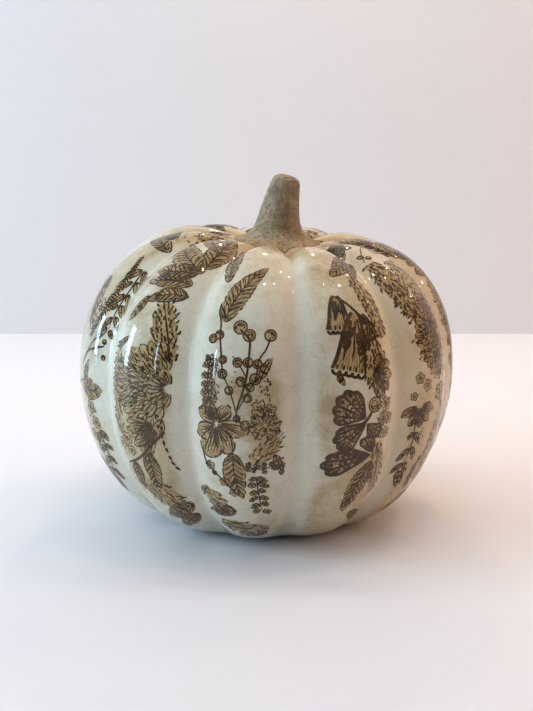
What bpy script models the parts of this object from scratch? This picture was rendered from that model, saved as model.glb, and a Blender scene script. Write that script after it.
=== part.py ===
"""Crackle-glazed ceramic pumpkin: a hollow ribbed body, a separate stem luted into its crown, and felt feet.

Metres, +Z up. The object stands on z = 0 with the body's axis on x = y = 0, and its front faces -Y.
"""
import math

import bmesh
import bpy
from mathutils import Vector

# Body, outside
BODY_RADIUS = 0.0900            # at the crest of a rib, on the widest ring
BULGE_ABOVE = 0.0643            # widest ring up to the highest ring of the shoulders
BULGE_BELOW = 0.0700            # widest ring down to the foot
SHOULDER_RADIUS = 0.0370        # ring where the shoulders are highest
FOOT_RADIUS = 0.0440            # outer edge of the flat foot
UPPER_POWERS = (1.00, 0.85)     # squareness of the upper half, across and up (1 and 1 make an ellipse)
LOWER_POWERS = (1.05, 1.05)     # squareness of the lower half

# Ribs
RIB_COUNT = 11
RIB_VALLEY_DEPTH = 0.0062       # how deep the valleys are pressed in at the widest ring
RIB_VALLEY_SHARPNESS = 1.5      # 1 is a scalloped arc, larger numbers make narrower valleys
RIB_VALLEY_SOFTNESS = 0.16      # rounds the bottom of each valley
RIB_FIRST_VALLEY = math.radians(9.3)    # the valley right of the front, turning towards +X
RIB_CORE_RADIUS = 0.0300        # the valleys are pressed towards this ring inside the body
RIB_FADE_CROWN = (0.0120, 0.0290)       # ribs start and reach full depth at these radii of the crown
RIB_FADE_FOOT = 0.0180          # the ribs run out over this width above the foot

# Hand-made unevenness
CROWN_SHIFT = 0.0050            # the crown sits this far towards +X
CROWN_TILT = 0.045              # and leans down towards +X, in metres per metre
CROWN_LIFT = 0.0026             # extra height of the shoulder on the -X side
OUT_OF_ROUND = 0.012            # share of the radius

# Wall, crown and base
WALL = 0.0045
CROWN_DIP = 0.0080              # depth of the hollow around the stem, if it ran to the axis
CROWN_OPENING_RADIUS = 0.0105   # hole that the stem's tenon goes into
FOOT_WIDTH = 0.0110             # flat ring that the body stands on
BASE_RECESS = 0.0030            # the base inside the foot is this much higher
VENT_RADIUS = 0.0060            # casting and firing vent in the base

# Stem
LUTE_GAP = 0.00050              # slip joint between stem and body
SKIRT_RADIUS = 0.0212           # flared foot of the stem
SKIRT_TONGUE = 0.0022           # the rim runs this much further out in the valleys
SKIRT_EDGE = 0.0009             # thickness of the skirt at its rim
STEM_HEIGHT = 0.0312            # above the skirt's rim
STEM_TIP_RADIUS = 0.0062
STEM_WAIST_RADIUS = 0.0100      # a third of the way up
STEM_LEAN = 0.0046              # the tip leans this far towards +X
TENON_LENGTH = 0.0090

# Felt feet
PAD_COUNT = 4
PAD_RADIUS = 0.0045
PAD_THICKNESS = 0.0012
GLUE_GAP = 0.0003

# Smoothness
STEPS_AROUND = 8 * RIB_COUNT
RINGS_ABOVE = 8
RINGS_BELOW = 9

FOOT_Z = PAD_THICKNESS + GLUE_GAP
WIDEST_Z = FOOT_Z + BULGE_BELOW
SHOULDER_Z = WIDEST_Z + BULGE_ABOVE
TENON_RADIUS = CROWN_OPENING_RADIUS - LUTE_GAP


def smooth_step(low, high, value):
    """0 at low, 1 at high, with soft ends."""
    share = min(max((value - low) / (high - low), 0.0), 1.0)
    return share * share * (3.0 - 2.0 * share)


def bulge(radius, end_radius, height, powers, rings):
    """(radius, height) pairs from the widest ring to a smaller end ring, both included."""
    points = []
    for ring in range(rings + 1):
        turn = 0.5 * math.pi * ring / rings
        across = end_radius + (radius - end_radius) * math.cos(turn) ** powers[0]
        points.append((across, height * math.sin(turn) ** powers[1]))
    points[-1] = (end_radius, height)
    return points


def crown_height(radius):
    """Height of the crown, before the ribs are pressed in, inside the shoulder ring."""
    inward = max(1.0 - radius / SHOULDER_RADIUS, 0.0)
    return SHOULDER_Z - CROWN_DIP * inward ** 1.5


def crown_rings():
    """Radii shared by the crown and by the underside of the stem's skirt, from the opening outwards."""
    share = (SKIRT_RADIUS - CROWN_OPENING_RADIUS) / 3.0
    return [CROWN_OPENING_RADIUS + share * ring for ring in range(4)]


def rib_valley(angle):
    """0 on the crest of a rib and nearly 1 in the valleys; the angle turns from the front towards +X."""
    wave = abs(math.sin(0.5 * RIB_COUNT * (angle - RIB_FIRST_VALLEY)))
    soft = math.hypot(wave, RIB_VALLEY_SOFTNESS) / math.hypot(1.0, RIB_VALLEY_SOFTNESS)
    return (1.0 - soft) ** RIB_VALLEY_SHARPNESS


def rib_press(radius, height, angle):
    """How far a point of the turned shape moves when the ribs are pressed in: (outwards, up)."""
    if height > WIDEST_Z:
        fade = smooth_step(RIB_FADE_CROWN[0], RIB_FADE_CROWN[1], radius)
    else:
        fade = smooth_step(FOOT_RADIUS, FOOT_RADIUS + RIB_FADE_FOOT, radius)
    inward = Vector((RIB_CORE_RADIUS - radius, WIDEST_Z - height)).normalized()
    depth = RIB_VALLEY_DEPTH * rib_valley(angle) * fade
    return inward.x * depth, inward.y * depth


def uneven(point, radius):
    """Shift and tilt of the crown, which grow from the widest ring inwards; the stem shares them."""
    inward = smooth_step(0.0, BODY_RADIUS - SKIRT_RADIUS, BODY_RADIUS - radius)
    grown = inward if point.z > WIDEST_Z else 0.0
    lift = CROWN_LIFT * (min(point.x, 0.0) / SHOULDER_RADIUS) ** 2
    return point + grown * Vector((CROWN_SHIFT, 0.0, lift - CROWN_TILT * point.x))


def out_of_round(radius, height, angle):
    """Radius after the slow waves that a hand-cut master leaves; none at the crown or the foot."""
    fade = smooth_step(SHOULDER_RADIUS, BODY_RADIUS, radius)
    if height < WIDEST_Z:
        fade = smooth_step(FOOT_RADIUS, BODY_RADIUS, radius)
    wave = 0.6 * math.sin(3.0 * angle) - math.cos(2.0 * angle)
    return radius * (1.0 + 0.5 * OUT_OF_ROUND * fade * wave)


def material(name, colour, roughness, metallic=0.0):
    made = bpy.data.materials.new(name)
    made.use_nodes = True
    shader = made.node_tree.nodes["Principled BSDF"]
    shader.inputs["Base Color"].default_value = (*colour, 1.0)
    shader.inputs["Roughness"].default_value = roughness
    shader.inputs["Metallic"].default_value = metallic
    made.diffuse_color = (*colour, 1.0)
    return made


def turned(name, profile, closed, collection):
    """Mesh object turned around Z from (radius, height) pairs that run down the outer side."""
    mesh = bpy.data.meshes.new(name + "_profile")
    edges = [(i, i + 1) for i in range(len(profile) - 1)]
    if closed:
        edges.append((len(profile) - 1, 0))
    mesh.from_pydata([(radius, 0.0, height) for radius, height in profile], edges, [])
    lathe = bpy.data.objects.new(name + "_profile", mesh)
    collection.objects.link(lathe)
    screw = lathe.modifiers.new("Turn", "SCREW")
    screw.axis = "Z"
    screw.angle = 2.0 * math.pi
    screw.steps = STEPS_AROUND
    screw.render_steps = STEPS_AROUND
    screw.use_merge_vertices = True
    screw.merge_threshold = 0.00001
    screw.use_smooth_shade = True
    bpy.context.view_layer.update()
    evaluated = lathe.evaluated_get(bpy.context.evaluated_depsgraph_get())
    solid = bpy.data.objects.new(name, bpy.data.meshes.new_from_object(evaluated))
    bpy.data.objects.remove(lathe)
    collection.objects.link(solid)
    return solid


def face_outwards(mesh):
    work = bmesh.new()
    work.from_mesh(mesh)
    bmesh.ops.recalc_face_normals(work, faces=work.faces)
    work.to_mesh(mesh)
    work.free()


def shade(part, look):
    part.data.materials.clear()
    part.data.materials.append(look)
    part.data.shade_smooth()
    part.data.set_sharp_from_angle(angle=math.radians(40.0))


def body_outside():
    """Profile from the crown opening over the shoulder and down to the foot's outer edge."""
    tongue = SKIRT_RADIUS + SKIRT_TONGUE
    rings = crown_rings() + [tongue, 0.5 * (tongue + SHOULDER_RADIUS)]
    points = [(radius, crown_height(radius)) for radius in rings]
    upper = bulge(BODY_RADIUS, SHOULDER_RADIUS, BULGE_ABOVE, UPPER_POWERS, RINGS_ABOVE)
    points += [(radius, WIDEST_Z + rise) for radius, rise in reversed(upper)]
    lower = bulge(BODY_RADIUS, FOOT_RADIUS, BULGE_BELOW, LOWER_POWERS, RINGS_BELOW)
    points += [(radius, WIDEST_Z - drop) for radius, drop in lower[1:]]
    return points


def body_base():
    """Profile of the base from the foot's inner edge to the vent."""
    inner_foot = FOOT_RADIUS - FOOT_WIDTH
    return [
        (inner_foot, FOOT_Z),
        (inner_foot - 1.2 * BASE_RECESS, FOOT_Z + BASE_RECESS),
        (VENT_RADIUS, FOOT_Z + BASE_RECESS),
    ]


def body_inside():
    """Profile of the cavity, one wall inside the outer face, from the vent up to the crown opening."""
    floor = FOOT_Z + BASE_RECESS + WALL
    radius = BODY_RADIUS - WALL
    lower = bulge(radius, FOOT_RADIUS - WALL, WIDEST_Z - floor, LOWER_POWERS, RINGS_BELOW - 3)
    upper = bulge(radius, SHOULDER_RADIUS, BULGE_ABOVE - WALL, UPPER_POWERS, RINGS_ABOVE - 3)
    points = [(VENT_RADIUS, floor)]
    points += [(across, WIDEST_Z - drop) for across, drop in reversed(lower)]
    points += [(across, WIDEST_Z + rise) for across, rise in upper[1:]]
    points += [(across, crown_height(across) - WALL) for across in reversed(crown_rings()[::3])]
    return points


def make_body(collection):
    profile = body_outside() + body_base() + body_inside()
    body = turned("body_shell", profile, True, collection)
    for vertex in body.data.vertices:
        x, y, z = vertex.co
        radius = math.hypot(x, y)
        angle = math.atan2(x, -y)
        out, up = rib_press(radius, z, angle)
        across = out_of_round(radius, z, angle) + out
        place = Vector((across * math.sin(angle), -across * math.cos(angle), z + up))
        vertex.co = uneven(place, radius)
    face_outwards(body.data)
    shade(body, material("glazed_ceramic", (0.80, 0.76, 0.68), 0.12))
    return body


def stem_profile():
    """Stem from the middle of its tip down to the skirt's rim, then in to the tenon and its end."""
    rim = crown_height(SKIRT_RADIUS) + LUTE_GAP
    top = rim + STEM_HEIGHT
    points = [(0.0, top), (0.55 * STEM_TIP_RADIUS, top - 0.0003), (0.88 * STEM_TIP_RADIUS, top - 0.0014)]
    for share in (0.90, 0.72, 0.54, 0.38, 0.25, 0.15, 0.07, 0.03):
        taper = STEM_TIP_RADIUS + (STEM_WAIST_RADIUS - STEM_TIP_RADIUS) * (1.0 - share) / 0.66
        flare = (SKIRT_RADIUS - STEM_WAIST_RADIUS * 1.16) * math.exp(-share / 0.085)
        points.append((taper + flare, rim + SKIRT_EDGE + share * (STEM_HEIGHT - SKIRT_EDGE)))
    points.append((SKIRT_RADIUS - 0.0004, rim + SKIRT_EDGE))
    for radius in reversed(crown_rings()[1:]):
        points.append((radius, crown_height(radius) + LUTE_GAP))
    shoulder = crown_height(CROWN_OPENING_RADIUS) + LUTE_GAP
    points.append((TENON_RADIUS, shoulder))
    points.append((TENON_RADIUS, shoulder - TENON_LENGTH + 0.001))
    points.append((TENON_RADIUS - 0.001, shoulder - TENON_LENGTH))
    points.append((0.0, shoulder - TENON_LENGTH))
    return points


def make_stem(collection):
    """The skirt takes the crown's ribs and reaches into the valleys; the neck above it leans."""
    stem = turned("stem", stem_profile(), False, collection)
    rim = crown_height(SKIRT_RADIUS)
    for vertex in stem.data.vertices:
        x, y, z = vertex.co
        radius = math.hypot(x, y)
        angle = math.atan2(x, -y)
        above = z - crown_height(max(radius, CROWN_OPENING_RADIUS))
        follow = 1.0 - smooth_step(2.0 * SKIRT_EDGE, 9.0 * SKIRT_EDGE, above)
        tongue = SKIRT_TONGUE * rib_valley(angle) * smooth_step(TENON_RADIUS, SKIRT_RADIUS, radius)
        drop = crown_height(radius + tongue) - crown_height(radius)
        out, up = rib_press(radius + tongue, crown_height(radius + tongue), angle)
        across = radius + (tongue + out) * follow
        lean = STEM_LEAN * max((z - rim) / STEM_HEIGHT, 0.0) ** 1.7
        place = Vector((across * math.sin(angle), -across * math.cos(angle), z + (drop + up) * follow))
        vertex.co = uneven(place, radius) + Vector((lean, 0.0, 0.0))
    face_outwards(stem.data)
    shade(stem, material("matte_stem", (0.36, 0.30, 0.25), 0.85))
    return stem


def make_pads(collection):
    felt = material("felt", (0.62, 0.58, 0.52), 0.95)
    ring = FOOT_RADIUS - 0.5 * FOOT_WIDTH
    pads = []
    for number in range(PAD_COUNT):
        angle = 2.0 * math.pi * (number + 0.5) / PAD_COUNT
        place = (ring * math.sin(angle), -ring * math.cos(angle), 0.5 * PAD_THICKNESS)
        bpy.ops.mesh.primitive_cylinder_add(vertices=32, radius=PAD_RADIUS, depth=PAD_THICKNESS, location=place)
        pad = bpy.context.object
        pad.name = f"felt_pad_{number + 1}"
        pad.data.name = pad.name
        for old in list(pad.users_collection):
            old.objects.unlink(pad)
        collection.objects.link(pad)
        edge = pad.modifiers.new("Soft edge", "BEVEL")
        edge.width = 0.2 * PAD_THICKNESS
        edge.segments = 1
        edge.limit_method = "ANGLE"
        shade(pad, felt)
        pads.append(pad)
    return pads


def centre_over_origin(body, others):
    """Slide every piece sideways by one amount, so that the widest box is centred on the origin."""
    across = [vertex.co.x for vertex in body.data.vertices]
    along = [vertex.co.y for vertex in body.data.vertices]
    middle = Vector((0.5 * (min(across) + max(across)), 0.5 * (min(along) + max(along)), 0.0))
    for part in [body] + others:
        for vertex in part.data.vertices:
            vertex.co -= middle


def main():
    for old in list(bpy.data.objects):
        bpy.data.objects.remove(old)
    collection = bpy.data.collections.new("ceramic_pumpkin")
    bpy.context.scene.collection.children.link(collection)
    body = make_body(collection)
    stem = make_stem(collection)
    pads = make_pads(collection)
    centre_over_origin(body, [stem] + pads)


main()
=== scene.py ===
# %% [markdown]
# # A crackle-glazed ceramic pumpkin
#
# The pumpkin is a hollow ribbed body of cream stoneware, a rough clay stem luted into its crown, and four
# felt pads under its foot. A brown botanical print lies in strips on the ribs, under a glossy glaze that
# has crazed into fine hairlines.
#
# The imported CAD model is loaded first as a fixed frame. Everything else is fitted to the boxes of its
# nodes.

# %% Load the frame
import math

import bpy
import numpy as np
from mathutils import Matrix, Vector


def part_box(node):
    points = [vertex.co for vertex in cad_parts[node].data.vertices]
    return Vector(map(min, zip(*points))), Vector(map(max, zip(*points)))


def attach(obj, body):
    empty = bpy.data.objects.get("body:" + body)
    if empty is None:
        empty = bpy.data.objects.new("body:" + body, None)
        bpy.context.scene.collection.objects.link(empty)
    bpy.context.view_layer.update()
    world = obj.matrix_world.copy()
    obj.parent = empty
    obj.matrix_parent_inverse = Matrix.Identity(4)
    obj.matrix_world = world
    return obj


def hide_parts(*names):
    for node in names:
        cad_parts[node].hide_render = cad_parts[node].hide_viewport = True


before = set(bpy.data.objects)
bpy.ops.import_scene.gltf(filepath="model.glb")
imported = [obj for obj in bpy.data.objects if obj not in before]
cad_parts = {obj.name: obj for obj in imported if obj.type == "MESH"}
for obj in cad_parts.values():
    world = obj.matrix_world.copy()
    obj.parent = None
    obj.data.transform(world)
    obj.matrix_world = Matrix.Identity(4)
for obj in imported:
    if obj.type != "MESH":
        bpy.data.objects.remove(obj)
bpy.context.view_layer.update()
body_low, body_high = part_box("body_shell")
stem_low, stem_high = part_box("stem")
print(f"the stem is {1000 * (stem_high.z - stem_low.z):.1f} mm tall with its tenon")

# %% [markdown]
# ## The sizes of the turned shape
#
# A slip-cast pumpkin starts as a master turned on a lathe. Its outline is a flat foot, a full belly, high
# shoulders and a hollow crown. A few radii and heights give the whole outline, so they are written once
# here. The foot's height comes from the frame, and everything else is counted up from it.

# %% Sizes
MM = 0.001
BODY_RADIUS = 90.0 * MM
BULGE_ABOVE = 64.3 * MM
BULGE_BELOW = 70.0 * MM
SHOULDER_RADIUS = 37.0 * MM
FOOT_RADIUS = 44.0 * MM
FOOT_WIDTH = 11.0 * MM
BASE_RECESS = 3.0 * MM
VENT_RADIUS = 6.0 * MM
WALL = 4.5 * MM
CROWN_DIP = 8.0 * MM
CROWN_POWER = 1.5
OPENING_RADIUS = 10.5 * MM
SKIRT_RADIUS = 21.2 * MM
UPPER_POWERS = (1.00, 0.85)
LOWER_POWERS = (1.05, 1.05)

FOOT_Z = float(body_low.z)
WIDEST_Z = FOOT_Z + BULGE_BELOW
SHOULDER_Z = WIDEST_Z + BULGE_ABOVE
heights = [round(height / MM, 1) for height in (FOOT_Z, WIDEST_Z, SHOULDER_Z)]
print("heights of the foot, the widest ring and the shoulders in mm:", heights)

# %% [markdown]
# ## The outline as one curve
#
# The glazed face runs from the crown's opening over the shoulder, round the belly and in to the foot. It
# is sampled densely and then measured along its own length, so that any later step can ask for the point
# that lies a given distance below the opening. The print needs exactly that, because paper strips are
# laid on by length and don't stretch.

# %% Outline of the glazed face


def soft(low, high, value):
    """0 below low, 1 above high, with a smooth run between them."""
    share = np.clip((value - low) / (high - low), 0.0, 1.0)
    return share * share * (3.0 - 2.0 * share)


def crown_height(radius):
    """Height of the hollow crown, which dips towards the stem."""
    return SHOULDER_Z - CROWN_DIP * np.maximum(1.0 - radius / SHOULDER_RADIUS, 0.0) ** CROWN_POWER


def bulge(end_radius, powers, turn):
    """Radius and share of the height, from the widest ring at turn 0 to the end ring at a quarter turn."""
    radius = end_radius + (BODY_RADIUS - end_radius) * np.cos(turn).clip(0.0) ** powers[0]
    return radius, np.sin(turn) ** powers[1]


quarter = np.linspace(0.0, 0.5 * math.pi, 300)
crown_radius = np.linspace(OPENING_RADIUS, SHOULDER_RADIUS, 80)
upper_radius, upper_share = bulge(SHOULDER_RADIUS, UPPER_POWERS, quarter)
lower_radius, lower_share = bulge(FOOT_RADIUS, LOWER_POWERS, quarter)
outline_radius = np.concatenate([crown_radius, upper_radius[::-1][1:], lower_radius[1:]])
outline_height = np.concatenate([
    crown_height(crown_radius),
    WIDEST_Z + BULGE_ABOVE * upper_share[::-1][1:],
    WIDEST_Z - BULGE_BELOW * lower_share[1:],
])
steps = np.hypot(np.diff(outline_radius), np.diff(outline_height))
outline_length = np.concatenate([[0.0], np.cumsum(steps)])


def outline_at(length):
    """Radius and height of the turned master at a length below the opening, in metres."""
    radius = np.interp(length, outline_length, outline_radius)
    height = np.interp(length, outline_length, outline_height)
    return radius, height


print(f"the outline is {outline_length[-1] / MM:.0f} mm long from the opening to the foot")

# %% [markdown]
# ## Ribs and a hand-made unevenness
#
# The ribs are pressed into the turned master: each valley is pushed towards the heart of the body,
# deepest on the belly, and fades out at the crown's opening and at the foot. A sine of the angle gives
# evenly spaced valleys, and a small softening keeps their bottoms round. Slow waves and a crown that sits
# off centre keep the pumpkin from looking machine-made.

# %% Ribs
RIB_COUNT = 11
RIB_ANGLE = 2.0 * math.pi / RIB_COUNT
FIRST_VALLEY = math.radians(9.3)
VALLEY_DEPTH = 6.2 * MM
VALLEY_SHARPNESS = 1.5
VALLEY_SOFTNESS = 0.16
CORE_RADIUS = 30.0 * MM
CROWN_FADE = (12.0 * MM, 29.0 * MM)
FOOT_FADE = 18.0 * MM
OUT_OF_ROUND = 0.012
CROWN_SHIFT = 5.0 * MM
CROWN_TILT = 0.045
CROWN_LIFT = 2.6 * MM


def rib_valley(angle):
    """0 on the crest of a rib and nearly 1 in a valley; the angle turns from the front towards +X."""
    wave = np.abs(np.sin(0.5 * RIB_COUNT * (angle - FIRST_VALLEY)))
    rounded = np.hypot(wave, VALLEY_SOFTNESS) / math.hypot(1.0, VALLEY_SOFTNESS)
    return (1.0 - rounded) ** VALLEY_SHARPNESS


def rib_fade(radius, height):
    """How much of the ribs is left, from 1 on the belly to 0 at the opening and at the foot."""
    at_crown = soft(*CROWN_FADE, radius)
    at_foot = soft(FOOT_RADIUS, FOOT_RADIUS + FOOT_FADE, radius)
    return np.where(height > WIDEST_Z, at_crown, at_foot)


def crown_slope(x):
    """How the crown leans: lower towards +X, and lifted once more at the far left."""
    return CROWN_LIFT * (np.minimum(x, 0.0) / SHOULDER_RADIUS) ** 2 - CROWN_TILT * x


def shaped(radius, height, angle):
    """Points of the finished pumpkin for points of the turned master, as an array of x, y, z."""
    towards = np.stack([CORE_RADIUS - radius, WIDEST_Z - height])
    towards = towards / (np.hypot(*towards) + 1e-9)
    press = VALLEY_DEPTH * rib_valley(angle) * rib_fade(radius, height)
    round_edge = np.where(height < WIDEST_Z, FOOT_RADIUS, SHOULDER_RADIUS)
    wave = 0.6 * np.sin(3.0 * angle) - np.cos(2.0 * angle)
    across = radius * (1.0 + 0.5 * OUT_OF_ROUND * soft(round_edge, BODY_RADIUS, radius) * wave)
    across = across + towards[0] * press
    up = height + towards[1] * press
    x = across * np.sin(angle)
    inward = soft(0.0, BODY_RADIUS - SKIRT_RADIUS, BODY_RADIUS - radius)
    grown = np.where(up > WIDEST_Z, inward, 0.0)
    return np.stack([x + CROWN_SHIFT * grown, -across * np.cos(angle), up + grown * crown_slope(x)], -1)


def on_outline(length, angle):
    """Points of the glazed face at a length below the opening, in metres, and an angle."""
    return shaped(*outline_at(length), angle) - middle


middle = np.zeros(3)
all_lengths, all_angles = np.meshgrid(outline_length, np.linspace(-math.pi, math.pi, 361))
sample = on_outline(all_lengths, all_angles).reshape(-1, 3)
middle[:2] = 0.5 * (sample.min(0) + sample.max(0))[:2]
middle[:2] -= 0.5 * np.array(body_low + body_high)[:2]
print("the shape moved by", np.round(middle / MM, 2), "mm to sit on the frame's middle")

# %% [markdown]
# ## Small helpers for meshes and shader nodes
#
# Every piece below is made as rows of points that are joined into quads. Wrapping the columns closes a
# turned shape. The node helper keeps the material cells short: it adds a node, sets its values and
# returns it.

# %% Helpers


def quads(rows, columns, wrap, first=0):
    """Faces between neighbouring rows; with wrap the last column joins the first."""
    faces = []
    for row in range(rows - 1):
        for column in range(columns if wrap else columns - 1):
            right = (column + 1) % columns
            low = first + row * columns
            high = low + columns
            faces.append((low + column, high + column, high + right, low + right))
    return faces


def mesh_piece(name, points, faces, looks, values=None):
    """A smooth mesh object that rides on the root body; values are per-point numbers for the materials."""
    mesh = bpy.data.meshes.new(name)
    mesh.from_pydata([tuple(point) for point in points], [], faces)
    for look in looks:
        mesh.materials.append(look)
    for label, numbers in (values or {}).items():
        layer = mesh.attributes.new(label, "FLOAT", "POINT")
        layer.data.foreach_set("value", np.asarray(numbers, np.float32))
    mesh.shade_smooth()
    piece = bpy.data.objects.new(name, mesh)
    bpy.context.scene.collection.objects.link(piece)
    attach(piece, "root")
    print(f"{name}: {len(mesh.polygons)} faces")
    return piece


def feed(tree, socket, value):
    """Link an input socket to an output, or set the input's own value."""
    if isinstance(value, bpy.types.NodeSocket):
        tree.links.new(value, socket)
    else:
        socket.default_value = value


def add(tree, kind, links=None, **values):
    """A shader node: links go to input sockets by name or number, other values are its own settings."""
    node = tree.nodes.new(kind)
    for key, value in values.items():
        setattr(node, key, value)
    for socket, value in (links or {}).items():
        feed(tree, node.inputs[socket], value)
    return node


def ramp(tree, factor, stops):
    """A colour ramp through (position, colour) stops."""
    node = add(tree, "ShaderNodeValToRGB", {"Fac": factor})
    elements = node.color_ramp.elements
    while len(elements) < len(stops):
        elements.new(0.5)
    for element, (position, colour) in zip(elements, stops):
        element.position = position
        element.color = (*colour, 1.0)
    return node.outputs["Color"]


def blend(tree, factor, first, second):
    """A colour mix; factor, first and second are sockets or values."""
    node = tree.nodes.new("ShaderNodeMix")
    node.data_type = "RGBA"
    for number, value in ((0, factor), (6, first), (7, second)):
        feed(tree, node.inputs[number], (*value, 1.0) if isinstance(value, tuple) else value)
    return node.outputs[2]


def math_node(tree, operation, first, second=0.5, clamp=False):
    """One step of arithmetic on sockets or values."""
    node = tree.nodes.new("ShaderNodeMath")
    node.operation = operation
    node.use_clamp = clamp
    feed(tree, node.inputs[0], first)
    feed(tree, node.inputs[1], second)
    return node.outputs[0]


def times(tree, first, second):
    return math_node(tree, "MULTIPLY", first, second)


def plus(tree, first, second):
    return math_node(tree, "ADD", first, second)


def bump(tree, shader, height, strength, distance):
    """Let a height tilt the shader's normal; the distance is in metres."""
    node = add(tree, "ShaderNodeBump", {"Height": height, "Strength": strength, "Distance": distance})
    tree.links.new(node.outputs["Normal"], shader.inputs["Normal"])


def new_group(name, inputs, outputs):
    """A shader node group with float inputs (name, value) and outputs (name, socket type)."""
    group = bpy.data.node_groups.new(name, "ShaderNodeTree")
    for label, value in inputs:
        made = group.interface.new_socket(name=label, in_out="INPUT", socket_type="NodeSocketFloat")
        made.default_value = value
    for label, kind in outputs:
        group.interface.new_socket(name=label, in_out="OUTPUT", socket_type=kind)
    entry = group.nodes.new("NodeGroupInput").outputs
    leave = group.nodes.new("NodeGroupOutput").inputs
    return group, entry, leave


def use_group(tree, group, **values):
    """The outputs of a node group placed in a tree; a space in an input's name is written as _."""
    node = tree.nodes.new("ShaderNodeGroup")
    node.node_tree = group
    for label, value in values.items():
        feed(tree, node.inputs[label.replace("_", " ")], value)
    return node.outputs


def new_material(name, colour, **settings):
    """A material whose constant settings are on the Principled BSDF's own sockets."""
    made = bpy.data.materials.new(name)
    made.use_nodes = True
    shader = made.node_tree.nodes["Principled BSDF"]
    shader.inputs["Base Color"].default_value = (*colour, 1.0)
    for label, value in settings.items():
        shader.inputs[label.replace("_", " ")].default_value = value
    made.diffuse_color = (*colour, 1.0)
    return made, made.node_tree, shader


print("helpers are ready for meshes, shader nodes and materials")

# %% [markdown]
# ## Clouds and crazing as node groups
#
# Fired glaze is never one colour: tea-brown stain gathers in soft clouds, and the glaze crazes into a net
# of hairlines that the stain runs into. Several materials need these effects, so each is a node group: it
# is built once, and every material sets its own values on the group's inputs. The net is the edge of
# Voronoi cells, nudged by noise so that no line is straight, with a second finer net inside the first.

# %% Clouds and crazing groups


def make_clouds():
    """Soft patches: Mask runs from 0 to 1 where the noise runs from Low to High."""
    group, entry, leave = new_group(
        "Clouds",
        [("Patches per metre", 20.0), ("Low", 0.4), ("High", 0.6)],
        [("Mask", "NodeSocketFloat")],
    )
    place = add(group, "ShaderNodeTexCoord").outputs["Object"]
    noise = add(group, "ShaderNodeTexNoise", {
        "Vector": place, "Scale": entry["Patches per metre"], "Detail": 6.0, "Roughness": 0.62,
    })
    spread = add(group, "ShaderNodeMapRange", {
        "Value": noise.outputs["Fac"], "From Min": entry["Low"], "From Max": entry["High"],
    }, interpolation_type="SMOOTHSTEP")
    group.links.new(spread.outputs["Result"], leave["Mask"])
    return group


def make_crazing():
    """Hairlines: Mask is 1 on a line; Tint differs from cell to cell."""
    group, entry, leave = new_group(
        "Crazing",
        [("Cells per metre", 150.0), ("Line share", 0.02), ("Wander", 0.004)],
        [("Mask", "NodeSocketFloat"), ("Tint", "NodeSocketFloat")],
    )
    place = add(group, "ShaderNodeTexCoord").outputs["Object"]
    nudge = add(group, "ShaderNodeTexNoise", {"Vector": place, "Scale": 90.0, "Detail": 3.0})
    centred = add(group, "ShaderNodeVectorMath", {
        0: nudge.outputs["Color"], 1: (0.5, 0.5, 0.5),
    }, operation="SUBTRACT").outputs[0]
    scaled = add(group, "ShaderNodeVectorMath", {0: centred, "Scale": entry["Wander"]}, operation="SCALE")
    moved = add(group, "ShaderNodeVectorMath", {0: place, 1: scaled.outputs[0]}, operation="ADD").outputs[0]
    nets = []
    for finer, strength in ((1.0, 1.0), (2.3, 0.55)):
        cells = add(group, "ShaderNodeTexVoronoi", {
            "Vector": moved, "Scale": times(group, entry["Cells per metre"], finer),
        }, feature="DISTANCE_TO_EDGE")
        width = times(group, entry["Line share"], finer)
        near = math_node(group, "DIVIDE", cells.outputs["Distance"], width, clamp=True)
        nets.append(times(group, math_node(group, "SUBTRACT", 1.0, near), strength))
    group.links.new(math_node(group, "MAXIMUM", *nets), leave["Mask"])
    tint = add(group, "ShaderNodeTexVoronoi", {"Vector": moved, "Scale": entry["Cells per metre"]})
    group.links.new(add(group, "ShaderNodeRGBToBW", {0: tint.outputs["Color"]}).outputs[0], leave["Tint"])
    return group


clouds = make_clouds()
crazing = make_crazing()


def cloud_mask(tree, patches, low, high):
    """The Clouds group's mask: patches per metre, and the noise where a patch starts and is full."""
    return use_group(tree, clouds, Patches_per_metre=patches, Low=low, High=high)["Mask"]


print("node groups:", ", ".join(group.name for group in (clouds, crazing)))

# %% [markdown]
# ## The glaze
#
# A glazed surface is a rough coloured body under a clear smooth layer, which is what the Coat of a
# Principled BSDF is. Its colour is a warm white. Stain darkens it in clouds, more under the printed
# strips and around the crown, and the hairlines are a little browner again. The +X side is tinted tan as
# painted warm light from the lamps on that side. Two numbers stored on the mesh say where the strips
# ("ground") are and how deep the tan of the crown's stain and of the painted warm light is, so that it
# follows the shape.
#
# The ink of the print lies under the same glaze. So the stained colour and the relief of the surface are
# node groups too, and the gloss is one set of values that all three glazed materials take.

# %% Glaze material
GLAZE_WHITE = (0.69, 0.645, 0.525)
GLAZE_CREAM = (0.50, 0.40, 0.24)
GLAZE_TEA = (0.34, 0.24, 0.115)
GLAZE_TAN = (0.58, 0.42, 0.215)
GLAZE_LINE = (0.27, 0.19, 0.10)
CREAM_EVERYWHERE = 0.14
LINE_EVERYWHERE = 0.22
CELL_TINT = 0.12
RIPPLE_DEPTH = 1.1 * MM
GROOVE_DEPTH = 0.08 * MM
GLOSS = {
    "Roughness": 0.45, "Specular_IOR_Level": 0.10,
    "Coat_Weight": 1.0, "Coat_Roughness": 0.045, "Coat_IOR": 1.42,
}


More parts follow.
